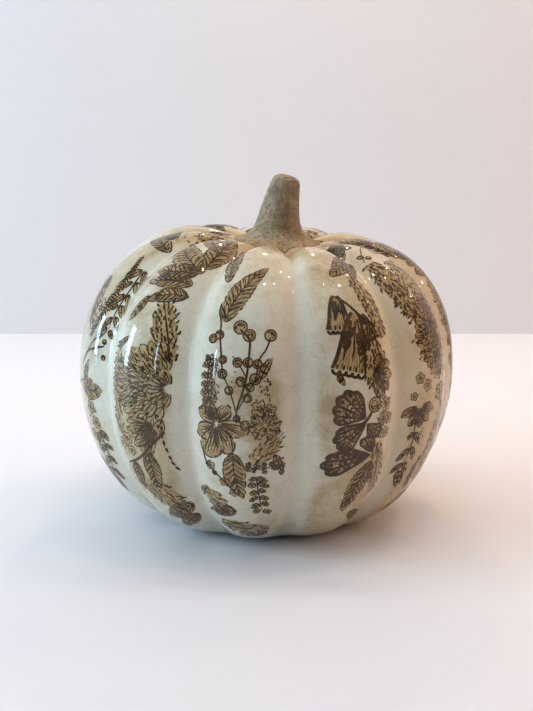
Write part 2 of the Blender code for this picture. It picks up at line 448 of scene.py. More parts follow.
def make_glaze_stain_and_warm_light():
    """Colour of the stained glaze, with painted warm light as a tan tint on its +X side, and the mask of its
    hairlines.
    """
    group, entry, leave = new_group(
        "Stained glaze and warm light",
        [("Cream", 0.86), ("Tea", 0.80), ("Line depth", 0.50), ("Specks", 0.55)],
        [("Color", "NodeSocketColor"), ("Lines", "NodeSocketFloat")],
    )
    ground = add(group, "ShaderNodeAttribute", attribute_name="ground").outputs["Fac"]
    stain_and_warm_light = add(group, "ShaderNodeAttribute", attribute_name="stain_and_warm_light").outputs["Fac"]
    strip = plus(group, times(group, ground, entry["Cream"]), CREAM_EVERYWHERE)
    creamy = times(group, cloud_mask(group, 22.0, 0.38, 0.62), strip)
    colour = blend(group, creamy, GLAZE_WHITE, GLAZE_CREAM)
    tea = times(group, times(group, cloud_mask(group, 75.0, 0.46, 0.70), creamy), entry["Tea"])
    colour = blend(group, tea, colour, GLAZE_TEA)
    # Tan where the crown is stained, and tan on the +X side as painted warm light.
    colour = blend(group, stain_and_warm_light, colour, GLAZE_TAN)
    net = use_group(group, crazing, Cells_per_metre=150.0, Line_share=0.022, Wander=0.0045)
    colour = blend(group, times(group, net["Tint"], CELL_TINT), colour, GLAZE_CREAM)
    depth = plus(group, times(group, creamy, entry["Line depth"]), LINE_EVERYWHERE)
    colour = blend(group, times(group, net["Mask"], depth), colour, GLAZE_LINE)
    specks = times(group, cloud_mask(group, 520.0, 0.70, 0.77), entry["Specks"])
    group.links.new(blend(group, specks, colour, GLAZE_LINE), leave["Color"])
    group.links.new(net["Mask"], leave["Lines"])
    return group


def make_glaze_relief():
    """Normal of a face that ripples slightly where the glaze ran, with the hairlines as faint grooves."""
    group, entry, leave = new_group(
        "Glaze relief",
        [("Lines", 0.0), ("Ripple", 0.30), ("Groove", 0.25)],
        [("Normal", "NodeSocketVector")],
    )
    place = add(group, "ShaderNodeTexCoord").outputs["Object"]
    ripple = add(group, "ShaderNodeTexNoise", {
        "Vector": place, "Scale": 95.0, "Detail": 2.0, "Roughness": 0.4,
    }).outputs["Fac"]
    wave = add(group, "ShaderNodeBump", {
        "Height": ripple, "Strength": entry["Ripple"], "Distance": RIPPLE_DEPTH,
    })
    groove = add(group, "ShaderNodeBump", {
        "Height": entry["Lines"], "Strength": entry["Groove"], "Distance": GROOVE_DEPTH,
        "Normal": wave.outputs["Normal"],
    }, invert=True)
    group.links.new(groove.outputs["Normal"], leave["Normal"])
    return group


stained_glaze_and_warm_light = make_glaze_stain_and_warm_light()
glaze_relief = make_glaze_relief()


def glazed_material(name, colour):
    """A glossy material whose relief is set, with the stained colour that lies under its gloss."""
    made, tree, shader = new_material(name, colour, **GLOSS)
    under = use_group(tree, stained_glaze_and_warm_light, Cream=0.86, Tea=0.80, Line_depth=0.50, Specks=0.55)
    relief = use_group(tree, glaze_relief, Lines=under["Lines"], Ripple=0.30, Groove=0.25)
    tree.links.new(relief["Normal"], shader.inputs["Normal"])
    return made, tree, shader, under["Color"]


def make_glaze():
    """The bare glaze around the print."""
    made, tree, shader, colour = glazed_material("crackle_glaze", GLAZE_WHITE)
    tree.links.new(colour, shader.inputs["Base Color"])
    return made


glaze = make_glaze()
print("material:", glaze.name)

# %% [markdown]
# ## Bare clay
#
# The foot is wiped clean before firing, because glaze would weld it to the kiln shelf. The bare ring, the
# recessed base and the inside show buff stoneware: matte, grainy and speckled.

# %% Bare clay material
CLAY_BUFF = (0.60, 0.51, 0.40)
CLAY_DARK = (0.38, 0.29, 0.20)


def make_clay():
    """Buff clay with darker patches, fine dark specks and a sandy grain."""
    made, tree, shader = new_material("bare_clay", CLAY_BUFF, Roughness=0.85)
    patches, specks = cloud_mask(tree, 45.0, 0.35, 0.70), cloud_mask(tree, 900.0, 0.60, 0.72)
    colour = blend(tree, times(tree, patches, 0.35), CLAY_BUFF, CLAY_DARK)
    colour = blend(tree, times(tree, specks, 0.6), colour, CLAY_DARK)
    tree.links.new(colour, shader.inputs["Base Color"])
    bump(tree, shader, cloud_mask(tree, 1400.0, 0.30, 0.75), 0.5, 0.2 * MM)
    return made


clay = make_clay()
print("material:", clay.name)

# %% [markdown]
# ## The body
#
# The body is one closed wall: the glazed face outside, the foot ring and base below, and the hollow
# inside, joined at the vent and at the crown's opening. The outside is sampled finely so that the
# highlights run smoothly over the ribs. The hidden inside follows the CAD wall more coarsely.

# %% Body
COLUMNS_PER_RIB = 32
OUTSIDE_ROWS = 170
INSIDE_ROWS = 26
EDGE_SOFTENING = 0.5 * MM
STRIP_EDGE = (0.26, 0.40)
CROWN_STAIN, CROWN_STAIN_REACH = 0.9, (18.0 * MM, 62.0 * MM)
# The tan on the +X side is painted warm light from the lamps on that side, not a stain.
PAINTED_WARM_SIDE, PAINTED_WARM_SIDE_REACH = 0.5, (0.1, 0.9)


def inside_outline():
    """Radius and height of the hollow, from the vent round the belly to the crown's opening."""
    floor = FOOT_Z + BASE_RECESS + WALL
    turn = np.linspace(0.5 * math.pi, 0.0, INSIDE_ROWS // 2)
    belly, foot = BODY_RADIUS - WALL, FOOT_RADIUS - WALL
    low_radius = foot + (belly - foot) * np.cos(turn).clip(0.0) ** LOWER_POWERS[0]
    low_height = WIDEST_Z - (WIDEST_Z - floor) * np.sin(turn) ** LOWER_POWERS[1]
    turn = turn[::-1][1:]
    high_radius = SHOULDER_RADIUS + (belly - SHOULDER_RADIUS) * np.cos(turn).clip(0.0) ** UPPER_POWERS[0]
    high_height = WIDEST_Z + (BULGE_ABOVE - WALL) * np.sin(turn) ** UPPER_POWERS[1]
    crown = np.linspace(SKIRT_RADIUS, OPENING_RADIUS, 4)
    radius = np.concatenate([[VENT_RADIUS], low_radius, high_radius, crown])
    height = np.concatenate([[floor], low_height, high_height, crown_height(crown) - WALL])
    return radius, height


def base_outline():
    """The foot's flat ring with softened edges, the recess and the vent's rim."""
    soften = EDGE_SOFTENING
    inner = FOOT_RADIUS - FOOT_WIDTH
    recess = inner - 1.2 * BASE_RECESS
    base = FOOT_Z + BASE_RECESS
    corners = [
        (FOOT_RADIUS - soften, FOOT_Z), (inner + soften, FOOT_Z), (inner - soften, FOOT_Z + 0.4 * soften),
        (recess + soften, base - soften), (recess - 2.0 * soften, base),
        (0.5 * (recess + VENT_RADIUS), base), (VENT_RADIUS + soften, base), (VENT_RADIUS, base + soften),
    ]
    return np.array(corners).T


def make_body():
    """The closed wall: glaze outside, bare clay on the foot, the base and the inside."""
    outside = outline_at(np.linspace(0.0, outline_length[-1], OUTSIDE_ROWS))
    radius, height = (np.concatenate(parts) for parts in zip(outside, base_outline(), inside_outline()))
    columns = RIB_COUNT * COLUMNS_PER_RIB
    angle = FIRST_VALLEY + np.arange(columns) * 2.0 * math.pi / columns
    points = shaped(radius[:, None], height[:, None], angle[None, :]) - middle
    faces = quads(len(radius), columns, True)
    last = (len(radius) - 1) * columns
    faces += [(last + i, i, (i + 1) % columns, last + (i + 1) % columns) for i in range(columns)]
    ground = strip_ground(angle)[None, :] * rib_fade(radius, height)[:, None]
    # Tan stain around the crown, and painted warm light on the +X side.
    stain_and_warm_light = tan_stain_and_painted_warm_side(radius[:, None], height[:, None], angle[None, :])
    values = {"ground": ground.ravel(), "stain_and_warm_light": stain_and_warm_light.ravel()}
    body = mesh_piece("pumpkin_body", points.reshape(-1, 3), faces, [glaze, clay], values)
    body.data.flip_normals()
    bare = (OUTSIDE_ROWS - 2) * columns
    numbers = np.zeros(len(faces), np.int32)
    numbers[bare:] = 1
    body.data.polygons.foreach_set("material_index", numbers)
    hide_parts("body_shell")


def strip_ground(angle):
    """1 where a printed strip lies on the crest of a rib, 0 in the valleys."""
    turned = (angle - FIRST_VALLEY) / RIB_ANGLE
    off_crest = np.abs(turned - np.floor(turned) - 0.5)
    return 1.0 - soft(*STRIP_EDGE, off_crest)


def tan_stain_and_painted_warm_side(radius, height, angle):
    """The stain that settles around the stem, and a weaker tan on the +X side that is painted warm light."""
    at_crown = np.where(height > WIDEST_Z, CROWN_STAIN * (1.0 - soft(*CROWN_STAIN_REACH, radius)), 0.0)
    # Painted warm light: towards +X, where the warm lamps stand, the glaze is tinted tan, unevenly.
    uneven = 0.75 + 0.25 * np.sin(5.0 * angle + 60.0 * height)
    painted_warm_side = PAINTED_WARM_SIDE * soft(*PAINTED_WARM_SIDE_REACH, np.sin(angle)) * uneven
    return np.maximum(at_crown, painted_warm_side)


make_body()

# %% [markdown]
# ## The stem
#
# The stem is modelled by hand in the same clay and left without glaze. Its skirt lies on the crown,
# follows the ribs and reaches a little further into each valley, and its neck leans. The rim is drawn out
# thin so that it seems to grow out of the crown.

# %% Stem
STEM_COLUMNS = RIB_COUNT * 16
RIM_RADIUS = SKIRT_RADIUS - 0.6 * MM
LUTE_GAP = 0.05 * MM
STEM_HEIGHT = 31.5 * MM
STEM_TIP_RADIUS = 6.2 * MM
STEM_WAIST_RADIUS = 10.0 * MM
STEM_LEAN = 4.6 * MM
SKIRT_TONGUE = 1.2 * MM
SKIRT_EDGE = 0.25 * MM
TENON_RADIUS = OPENING_RADIUS - 0.35 * MM
TENON_LENGTH = 9.0 * MM
SKIRT_PRESS = 0.97
FLARE_SHARE = 0.085
TIP_ROUNDING = 3.0 * MM
TIP_SLUMP = 0.22
STEM_LUMPS = 0.016
STEM_TONES = ((0.18, 0.128, 0.076), (0.375, 0.285, 0.185), (0.58, 0.48, 0.34))
STEM_RIM = (0.42, 0.30, 0.165)


def stem_outline():
    """Radius and height from the middle of the tip down to the skirt's rim, then in and down the tenon."""
    rim = float(crown_height(RIM_RADIUS)) + LUTE_GAP
    top = rim + STEM_HEIGHT
    turn = np.linspace(0.0, 0.5 * math.pi, 12)
    tip_radius = 1.03 * STEM_TIP_RADIUS * np.sin(turn) ** 0.85
    tip_height = top - TIP_ROUNDING * (1.0 - np.cos(turn)) ** 1.2
    share = np.linspace(0.905, 0.0, 60) ** 1.25
    taper = STEM_TIP_RADIUS + (STEM_WAIST_RADIUS - STEM_TIP_RADIUS) * (1.0 - share) / 0.66
    flare = (RIM_RADIUS - 1.20 * STEM_WAIST_RADIUS) * np.exp(-share / FLARE_SHARE)
    neck_height = rim + SKIRT_EDGE + share * (STEM_HEIGHT - SKIRT_EDGE)
    under = np.linspace(RIM_RADIUS, TENON_RADIUS, 12)
    end = float(crown_height(OPENING_RADIUS)) + LUTE_GAP - TENON_LENGTH
    tenon_radius = [TENON_RADIUS, TENON_RADIUS - MM, 0.02 * MM]
    radius = np.concatenate([tip_radius, taper + flare, under, tenon_radius])
    height = np.concatenate([tip_height, neck_height, crown_height(under) + LUTE_GAP, [end + MM, end, end]])
    return radius, height


def make_stem(look):
    """The turned stem, pressed into the valleys at its skirt, leaning and a little lumpy above."""
    radius, height = (values[:, None] for values in stem_outline())
    angle = (FIRST_VALLEY + np.arange(STEM_COLUMNS) * 2.0 * math.pi / STEM_COLUMNS)[None, :]
    crown = crown_height(np.maximum(radius, OPENING_RADIUS))
    follow = 1.0 - soft(2.0 * MM, 8.0 * MM, height - crown)
    tongue = SKIRT_TONGUE * rib_valley(angle) * soft(TENON_RADIUS, RIM_RADIUS, radius)
    reach = radius + tongue * follow
    rise = np.clip((height - crown_height(RIM_RADIUS)) / STEM_HEIGHT, 0.0, 1.0)
    fade = rib_fade(reach, crown_height(reach)) * SKIRT_PRESS
    press = -VALLEY_DEPTH * rib_valley(angle) * fade * follow
    lumps = np.sin(2.0 * angle + 1.0 + 4.0 * rise) + 0.6 * np.sin(5.0 * angle - 7.0 * rise)
    across = reach * (1.0 + STEM_LUMPS * lumps * soft(0.05, 0.35, rise))
    x, y = across * np.sin(angle), -across * np.cos(angle)
    drop = (crown_height(reach) - crown_height(radius)) * follow
    slump = TIP_SLUMP * soft(0.80, 1.0, rise) * np.maximum(x, -2.0 * MM)
    z = height + drop + press + crown_slope(x) - slump
    points = np.stack([x + CROWN_SHIFT + STEM_LEAN * rise ** 1.7, y, z], -1) - middle
    rim = (1.0 - soft(0.0, 7.0 * MM, height - crown)) * np.ones_like(angle)
    faces = quads(len(radius), STEM_COLUMNS, True)
    values = {"rim": rim.ravel()}
    stem = mesh_piece("pumpkin_stem", points.reshape(-1, 3), faces, [look], values)
    stem.data.flip_normals()
    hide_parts("stem")


def make_stem_clay():
    """Brown-grey clay: soft patches, dark pits and pale grains, all matte."""
    made, tree, shader = new_material("stem_clay", STEM_TONES[1], Roughness=0.78)
    patches = cloud_mask(tree, 70.0, 0.25, 0.75)
    pits = cloud_mask(tree, 560.0, 0.50, 0.66)
    grains = cloud_mask(tree, 900.0, 0.54, 0.68)
    rim = add(tree, "ShaderNodeAttribute", attribute_name="rim").outputs["Fac"]
    colour = ramp(tree, patches, [(0.0, STEM_TONES[0]), (0.45, STEM_TONES[1]), (1.0, STEM_TONES[1])])
    dark, _, pale = STEM_TONES
    for mask, share, tone in ((pits, 0.60, dark), (grains, 0.50, pale), (rim, 0.60, STEM_RIM)):
        colour = blend(tree, times(tree, mask, share), colour, tone)
    tree.links.new(colour, shader.inputs["Base Color"])
    bump(tree, shader, math_node(tree, "SUBTRACT", patches, times(tree, pits, 0.8)), 0.9, 0.5 * MM)
    return made


make_stem(make_stem_clay())

# %% [markdown]
# ## Felt pads
#
# Four felt dots keep the bare foot from scratching a table. Pressed felt is cut with a punch, so each dot
# is a flat disc with a slightly ragged edge, and its face is a mat of fine fibres.

# %% Felt pads
PAD_COLUMNS = 48
FELT_TONES = ((0.42, 0.38, 0.32), (0.66, 0.62, 0.55))


def make_felt():
    """Pale felt whose fibres lie mostly one way."""
    made, tree, shader = new_material("pressed_felt", FELT_TONES[1], Roughness=0.95, Sheen_Weight=0.3)
    place = add(tree, "ShaderNodeTexCoord").outputs["Object"]
    stretch = add(tree, "ShaderNodeMapping", {"Vector": place, "Scale": (3.0, 1.0, 1.0)}).outputs[0]
    fibres = add(tree, "ShaderNodeTexNoise", {
        "Vector": stretch, "Scale": 1800.0, "Detail": 4.0,
    }).outputs["Fac"]
    colour = ramp(tree, fibres, [(0.35, FELT_TONES[0]), (0.65, FELT_TONES[1])])
    tree.links.new(colour, shader.inputs["Base Color"])
    bump(tree, shader, fibres, 0.6, 0.2 * MM)
    return made


def make_pad(number, look):
    """A round dot as thick as its CAD pad, with softened and slightly ragged edges."""
    low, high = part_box(f"felt_pad_{number}")
    centre = 0.5 * (low + high)
    reach, thick = 0.5 * (high.x - low.x), high.z - low.z
    shares = np.array([0.001, 0.5, 0.90, 0.98, 1.0, 0.99, 0.93, 0.5, 0.001])
    levels = np.array([1.0, 1.0, 1.0, 0.86, 0.5, 0.14, 0.0, 0.0, 0.0])
    angle = np.arange(PAD_COLUMNS) * 2.0 * math.pi / PAD_COLUMNS
    ragged = 1.0 - 0.012 * (1.0 + np.sin(7.0 * angle + number)) - 0.008 * (1.0 + np.sin(17.0 * angle))
    radius = reach * shares[:, None] * ragged[None, :]
    points = np.stack([
        centre.x + radius * np.sin(angle), centre.y - radius * np.cos(angle),
        low.z + thick * levels[:, None] * np.ones_like(radius),
    ], -1)
    faces = quads(len(shares), PAD_COLUMNS, True)
    pad = mesh_piece(f"felt_dot_{number}", points.reshape(-1, 3), faces, [look])
    pad.data.flip_normals()
    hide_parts(f"felt_pad_{number}")


felt = make_felt()
for number in range(1, 5):
    make_pad(number, felt)

# %% [markdown]
# ## Ink
#
# The print is engraved ware: a copper plate prints fine brown lines and a paler brown tone on thin paper,
# and the paper is laid on the biscuit before glazing. Both inks lie under the same glaze, so they share
# its crazing and its gloss. The tone lets some of the stained white through in clouds, and the lines are
# a deep brown that thins out in places where the paper didn't take.

# %% Ink materials
INK_DARK = (0.026, 0.011, 0.002)
INK_BROWN = (0.095, 0.041, 0.008)
INK_TONE = (0.325, 0.207, 0.072)
INK_THIN = (0.470, 0.342, 0.156)
HATCH_WEAR, HATCH_GAIN, HATCH_LEVEL = 0.55, 0.50, 0.66
HATCH_EDGE, HATCH_COVER = 4.5, 0.9


def hatch_mask(tree):
    """Engraved hatching: stripes along the stored phase, which wander and break up."""
    phase = add(tree, "ShaderNodeAttribute", attribute_name="phase").outputs["Fac"]
    strength = add(tree, "ShaderNodeAttribute", attribute_name="hatch").outputs["Fac"]
    turned = times(tree, plus(tree, phase, cloud_mask(tree, 330.0, 0.0, 1.0)), 2.0 * math.pi)
    wave = times(tree, plus(tree, math_node(tree, "SINE", turned), 1.0), 0.5)
    worn = times(tree, cloud_mask(tree, 480.0, 0.25, 0.75), HATCH_WEAR)
    least = math_node(tree, "SUBTRACT", worn, times(tree, strength, HATCH_GAIN))
    above = math_node(tree, "SUBTRACT", wave, plus(tree, least, HATCH_LEVEL))
    sharp = math_node(tree, "MULTIPLY", above, HATCH_EDGE, True)
    return times(tree, sharp, math_node(tree, "GREATER_THAN", strength, 0.01))


def make_ink(name, dense, thin, cover, patches, wear, hatched):
    """Ink that thins in patches and is worn through, here and there, to the glaze colour under it."""
    made, tree, shader, under = glazed_material(name, dense)
    ink = blend(tree, cloud_mask(tree, patches, 0.34, 0.68), dense, thin)
    worn = times(tree, cloud_mask(tree, 2.6 * patches, 0.58, 0.76), wear)
    colour = blend(tree, math_node(tree, "ADD", worn, 1.0 - cover, True), ink, under)
    if hatched:
        colour = blend(tree, times(tree, hatch_mask(tree), HATCH_COVER), colour, INK_BROWN)
    tree.links.new(colour, shader.inputs["Base Color"])
    return made


ink_tone = make_ink("print_tone", INK_TONE, INK_THIN, 0.90, 260.0, 0.45, True)
ink_line = make_ink("print_line", INK_DARK, INK_BROWN, 0.98, 190.0, 0.22, False)
print("materials:", ink_tone.name, "and", ink_line.name)

# %% [markdown]
# ## Drawing flat, in millimetres
#
# Each strip of print is drawn on a flat sheet first: u runs across the rib, from its crest, and v runs
# down from the crown's opening. A drawing is made of ribbons. A pen stroke is a thin ribbon that tapers,
# and a leaf's tone is a wide one. Wide ribbons are split across, so that they can bend over the rib
# later.

# %% Pen
LINE = 0.55
TONE_LIFT, LINE_LIFT = 0.045 * MM, 0.085 * MM
WIDEST_QUAD = 3.6
SKETCH_GAP = 0.12
HATCH_PITCH = 1.5
rng = np.random.default_rng(11)


def new_sheet():
    """An empty drawing; a look of 0 is tone and 1 is line."""
    return {"points": [], "faces": [], "looks": []}


def heading(turn):
    """A unit vector on the sheet for an angle."""
    return np.array([math.cos(turn), math.sin(turn)])


def turn_of(vector):
    """The angle of a vector on the sheet."""
    return math.atan2(vector[1], vector[0])


def smooth_path(points, step=0.9):
    """Points about every step millimetres along a smooth curve through the chosen points."""
    points = np.asarray(points, float)
    ends = [2.0 * points[0] - points[1], *points, 2.0 * points[-1] - points[-2]]
    path = []
    for before, here, there, after in zip(ends, ends[1:], ends[2:], ends[3:]):
        count = max(2, int(math.ceil(np.hypot(*(there - here)) / step)))
        for share in np.arange(count) / count:
            path.append(0.5 * (
                2.0 * here + (there - before) * share
                + (2.0 * before - 5.0 * here + 4.0 * there - after) * share ** 2
                + (3.0 * here - before - 3.0 * there + after) * share ** 3
            ))
    return np.array(path + [points[-1]])


def sideways(path):
    """Unit vectors to the left of a path."""
    along = np.gradient(path, axis=0)
    along = along / (np.hypot(*along.T)[:, None] + 1e-9)
    return np.stack([along[:, 1], -along[:, 0]], -1)


def ribbon(sheet, left, right, look, hatching=None):
    """Quads between two edges with equally many points.

    hatching(along, side) gives the phase of the engraved hatching and how strong it is, from the
    millimetres along the ribbon and the side from -1 to 1.
    """
    widest = np.hypot(*(right - left).T).max()
    columns = 1 + 2 * max(1, int(math.ceil(widest / WIDEST_QUAD))) if look == 0 else 2
    lift = LINE_LIFT if look else TONE_LIFT
    first = len(sheet["points"])
    middle_line = 0.5 * (left + right)
    along = np.concatenate([[0.0], np.cumsum(np.hypot(*np.diff(middle_line, axis=0).T))])
    for start, end, length in zip(left, right, along):
        for side in np.linspace(-1.0, 1.0, columns):
            u, v = start + (end - start) * 0.5 * (side + 1.0)
            phase, strength = hatching(length, side) if hatching else (0.0, 0.0)
            sheet["points"].append((u, v, lift, phase, strength))
    made = quads(len(left), columns, False, first)
    sheet["faces"] += made
    sheet["looks"] += [look] * len(made)


def stroke(sheet, points, width=LINE, start=0.4, end=0.1):
    """A pen line that swells from its start and thins towards its end."""
    path = smooth_path(points)
    share = np.linspace(0.0, 1.0, len(path))
    swell = np.minimum(np.minimum(start + 5.0 * share, 1.0), end + 3.0 * (1.0 - share))
    half = (0.5 * width * swell)[:, None] * sideways(path)
    ribbon(sheet, path + half, path - half, 1)


def sketch(sheet, path, width):
    """A line drawn in several lifts of the pen, each with its own weight and with small gaps between."""
    index = 0
    while index < len(path) - 2:
        count = int(rng.integers(3, 9))
        piece = path[index:index + count]
        if len(piece) > 1:
            stroke(sheet, piece + rng.normal(0.0, 0.10, 2), width * rng.uniform(0.7, 1.6), 0.5, 0.3)
        index += count - 1 + int(rng.uniform(0.0, 1.0) < SKETCH_GAP * count)


def dab(sheet, centre, length, width, turn, look=1):
    """A short fat touch of the pen."""
    centre = np.asarray(centre, float)
    along = heading(turn)
    share = np.array([-0.5, -0.25, 0.1, 0.5])
    half = np.array([0.15, 0.5, 0.45, 0.1])[:, None] * width * np.array([along[1], -along[0]])
    path = centre + share[:, None] * length * along
    ribbon(sheet, path + half, path - half, look)


def disc(sheet, centre, radius):
    """A round spot of tone."""
    turn = np.linspace(0.02, math.pi - 0.02, 9)
    down = np.stack([np.zeros(9), -np.cos(turn)], -1) * radius + centre
    half = np.stack([np.sin(turn), np.zeros(9)], -1) * radius
    ribbon(sheet, down - half, down + half, 0)


def ring(sheet, centre, radius, width, start=0.0, turn=2.0 * math.pi):
    """A circle, or a part of one, drawn with the pen."""
    angle = start + np.linspace(0.0, turn, 11)
    stroke(sheet, np.stack([np.cos(angle), np.sin(angle)], -1) * radius + centre, width, 0.8, 0.7)


print(f"a pen of {LINE} mm, raised by {LINE_LIFT / MM:.3f} mm over the glaze")

# %% [markdown]
# ## Leaves, berries and blossoms
#
# An engraver repeats a few shapes: a leaf with a midrib and slanting veins, a feathery frond, a round
# berry with a ring inside, a petal with short hatching at its tip. Each is a function of where it starts
# and ends, so that the same shape serves at any size and slant.

# %% Motifs
LEAF_FULLEST, LEAF_WAVE = 0.75, 0.07
PLUME_GAPS, PLUME_NARROWING = 0.18, 0.88


def spine(base, tip, bend=0.0, step=1.2, fewest=8):
    """Points along a bent line, their share of the way, its length, and units along and across it."""
    base, tip = np.asarray(base, float), np.asarray(tip, float)
    length = np.hypot(*(tip - base))
    along = (tip - base) / length
    across = np.array([along[1], -along[0]])
    share = np.linspace(0.0, 1.0, max(fewest, int(length / step)))
    axis = base + share[:, None] * (tip - base) + bend * np.sin(math.pi * share)[:, None] * across
    return axis, share, length, along, across


def leaf(sheet, base, tip, width, bend=0.0, veins=7, dark=0.0):
    """A leaf from base to tip; dark adds hatching between the veins, from 0 to 1."""
    axis, share, length, _, _ = spine(base, tip, bend, 1.1)
    half = 0.5 * width * np.sin(math.pi * share ** LEAF_FULLEST).clip(0.0) ** 0.8
    half = half * (1.0 + LEAF_WAVE * np.sin(share * length * 2.6)) + 0.12
    side = sideways(axis)
    left, right = axis + half[:, None] * side, axis - half[:, None] * side

    def slanted(along, across):
        return (along - 0.42 * width * abs(across)) / HATCH_PITCH, 0.12 + 0.38 * dark

    ribbon(sheet, left, right, 0, slanted)
    for edge in (left, right):
        sketch(sheet, edge, 0.95 * LINE)
    stroke(sheet, axis[: max(4, int(0.92 * len(axis)))], 1.15 * LINE)
    for vein in range(veins):
        start = int((0.06 + 0.80 * vein / veins) * (len(axis) - 1))
        end = min(start + max(1, int(0.16 * len(axis))), len(axis) - 1)
        for edge in (left, right):
            stop = axis[end] + rng.uniform(0.75, 0.98) * (edge[end] - axis[end])
            bow = 0.12 * (edge[end] - axis[end])
            weight = rng.uniform(0.7, 1.3 + 0.7 * dark) * LINE
            stroke(sheet, [axis[start], 0.5 * (axis[start] + stop) - bow, stop], weight, 0.5, 0.2)
            if dark > 0.0:
                inner = 0.55 * axis[start] + 0.45 * stop
                size = (0.26 * width * dark + 0.8, 0.35 * dark + 0.3)
                dab(sheet, 0.5 * (inner + edge[start]), *size, turn_of(stop - axis[start]))


def frond(sheet, points, reach, pitch):
    """A serrated stem with short teeth along it."""
    path = smooth_path(points, pitch)
    side, along = sideways(path), np.gradient(path, axis=0)
    stroke(sheet, points, 1.1 * LINE)
    for index in range(1, len(path) - 1):
        full = reach * (0.45 + 0.55 * math.sin(math.pi * index / len(path)))
        for sign in (1, -1):
            size = full * rng.uniform(0.6, 1.15)
            tip = path[index] + sign * size * side[index] + rng.uniform(0.5, 1.3) * along[index]
            bow = path[index] + 0.5 * sign * size * side[index] + 0.1 * along[index]
            stroke(sheet, [path[index], bow, tip], rng.uniform(1.1, 1.9) * LINE, 0.8, 0.2)


def berry(sheet, centre, radius):
    """A round berry with a broken ring and a few touches of shade inside."""
    centre = np.asarray(centre, float)
    disc(sheet, centre, radius)
    ring(sheet, centre, 0.93 * radius, 1.1 * LINE)
    start = rng.uniform(0.0, 6.0)
    ring(sheet, centre, 0.55 * radius, 0.9 * LINE, start, rng.uniform(2.5, 5.0))
    for turn in start + np.array([0.0, 1.2, 2.1]):
        spot = centre + rng.uniform(0.15, 0.75) * radius * heading(turn)
        dab(sheet, spot, rng.uniform(0.35, 0.7) * radius, rng.uniform(0.2, 0.4) * radius, turn + 1.4)


def floret(sheet, centre, radius, petals=5):
    """A small open flower seen from above."""
    centre = np.asarray(centre, float)
    disc(sheet, centre, 0.8 * radius)
    start = rng.uniform(0.0, 6.0)
    for number in range(petals):
        turn = start + 2.0 * math.pi * number / petals
        out = heading(turn)
        dab(sheet, centre + 0.72 * radius * out, 0.75 * radius, 0.62 * radius, turn, 0)
        ring(sheet, centre + 0.70 * radius * out, 0.36 * radius, 0.75 * LINE, turn - 2.0, 4.0)
        dab(sheet, centre + 0.30 * radius * out, 0.42 * radius, 0.26 * radius, turn)


def petal(sheet, base, tip, width, hatch, touches, pen, shade=0.6):
    """A petal with lines running from its root and dabs of shade at its tip."""
    axis, share, length, along, across = spine(base, tip, fewest=6)
    half = 0.5 * width * np.sin(math.pi * (0.06 + 0.88 * share) ** 1.35).clip(0.0) ** 0.75
    left, right = axis + half[:, None] * across, axis - half[:, None] * across

    def lengthwise(along, across):
        return 0.5 * width * across / HATCH_PITCH, min(1.0, 0.06 + 0.6 * shade * along / length)

    ribbon(sheet, left, right, 0, lengthwise)
    sketch(sheet, left, pen * LINE)
    sketch(sheet, right, pen * LINE)
    stroke(sheet, [left[-1], axis[-1] + 0.35 * along, right[-1]], pen * LINE, 0.8, 0.8)
    for line in range(hatch):
        off = (line + 0.5) / hatch * 2.0 - 1.0
        root = axis[0] + 0.10 * length * along + 0.12 * off * width * across
        stop = axis[0] + rng.uniform(0.55, 0.95) * length * along + 0.36 * off * width * across
        stroke(sheet, [root, 0.5 * (root + stop), stop], 0.9 * pen * LINE)
    for _ in range(touches):
        spot = axis[0] + rng.uniform(0.45, 0.93) * length * along + rng.uniform(-0.36, 0.36) * width * across
        dab(sheet, spot, rng.uniform(0.6, 1.0), rng.uniform(0.45, 0.7), turn_of(along))


def fan(sheet, heart, near, far, start, end, count, width, **style):
    """Petals or leaves that spread from a heart, between two directions in degrees."""
    heart = np.asarray(heart, float)
    for degrees in np.linspace(start, end, count):
        out = heading(math.radians(degrees))
        size = far * rng.uniform(0.90, 1.0)
        petal(sheet, heart + near * out, heart + size * out, width, **style)


def stipple(sheet, centre, spread, count, size=0.8):
    """Short touches scattered over an oval patch."""
    for _ in range(count):
        turn, reach = rng.uniform(0.0, 2.0 * math.pi), math.sqrt(rng.uniform(0.0, 1.0))
        spot = np.asarray(centre) + np.array(spread) * reach * heading(turn)
        dab(sheet, spot, size * rng.uniform(0.8, 1.5), size * rng.uniform(0.5, 0.8), rng.uniform(0.0, 3.1))


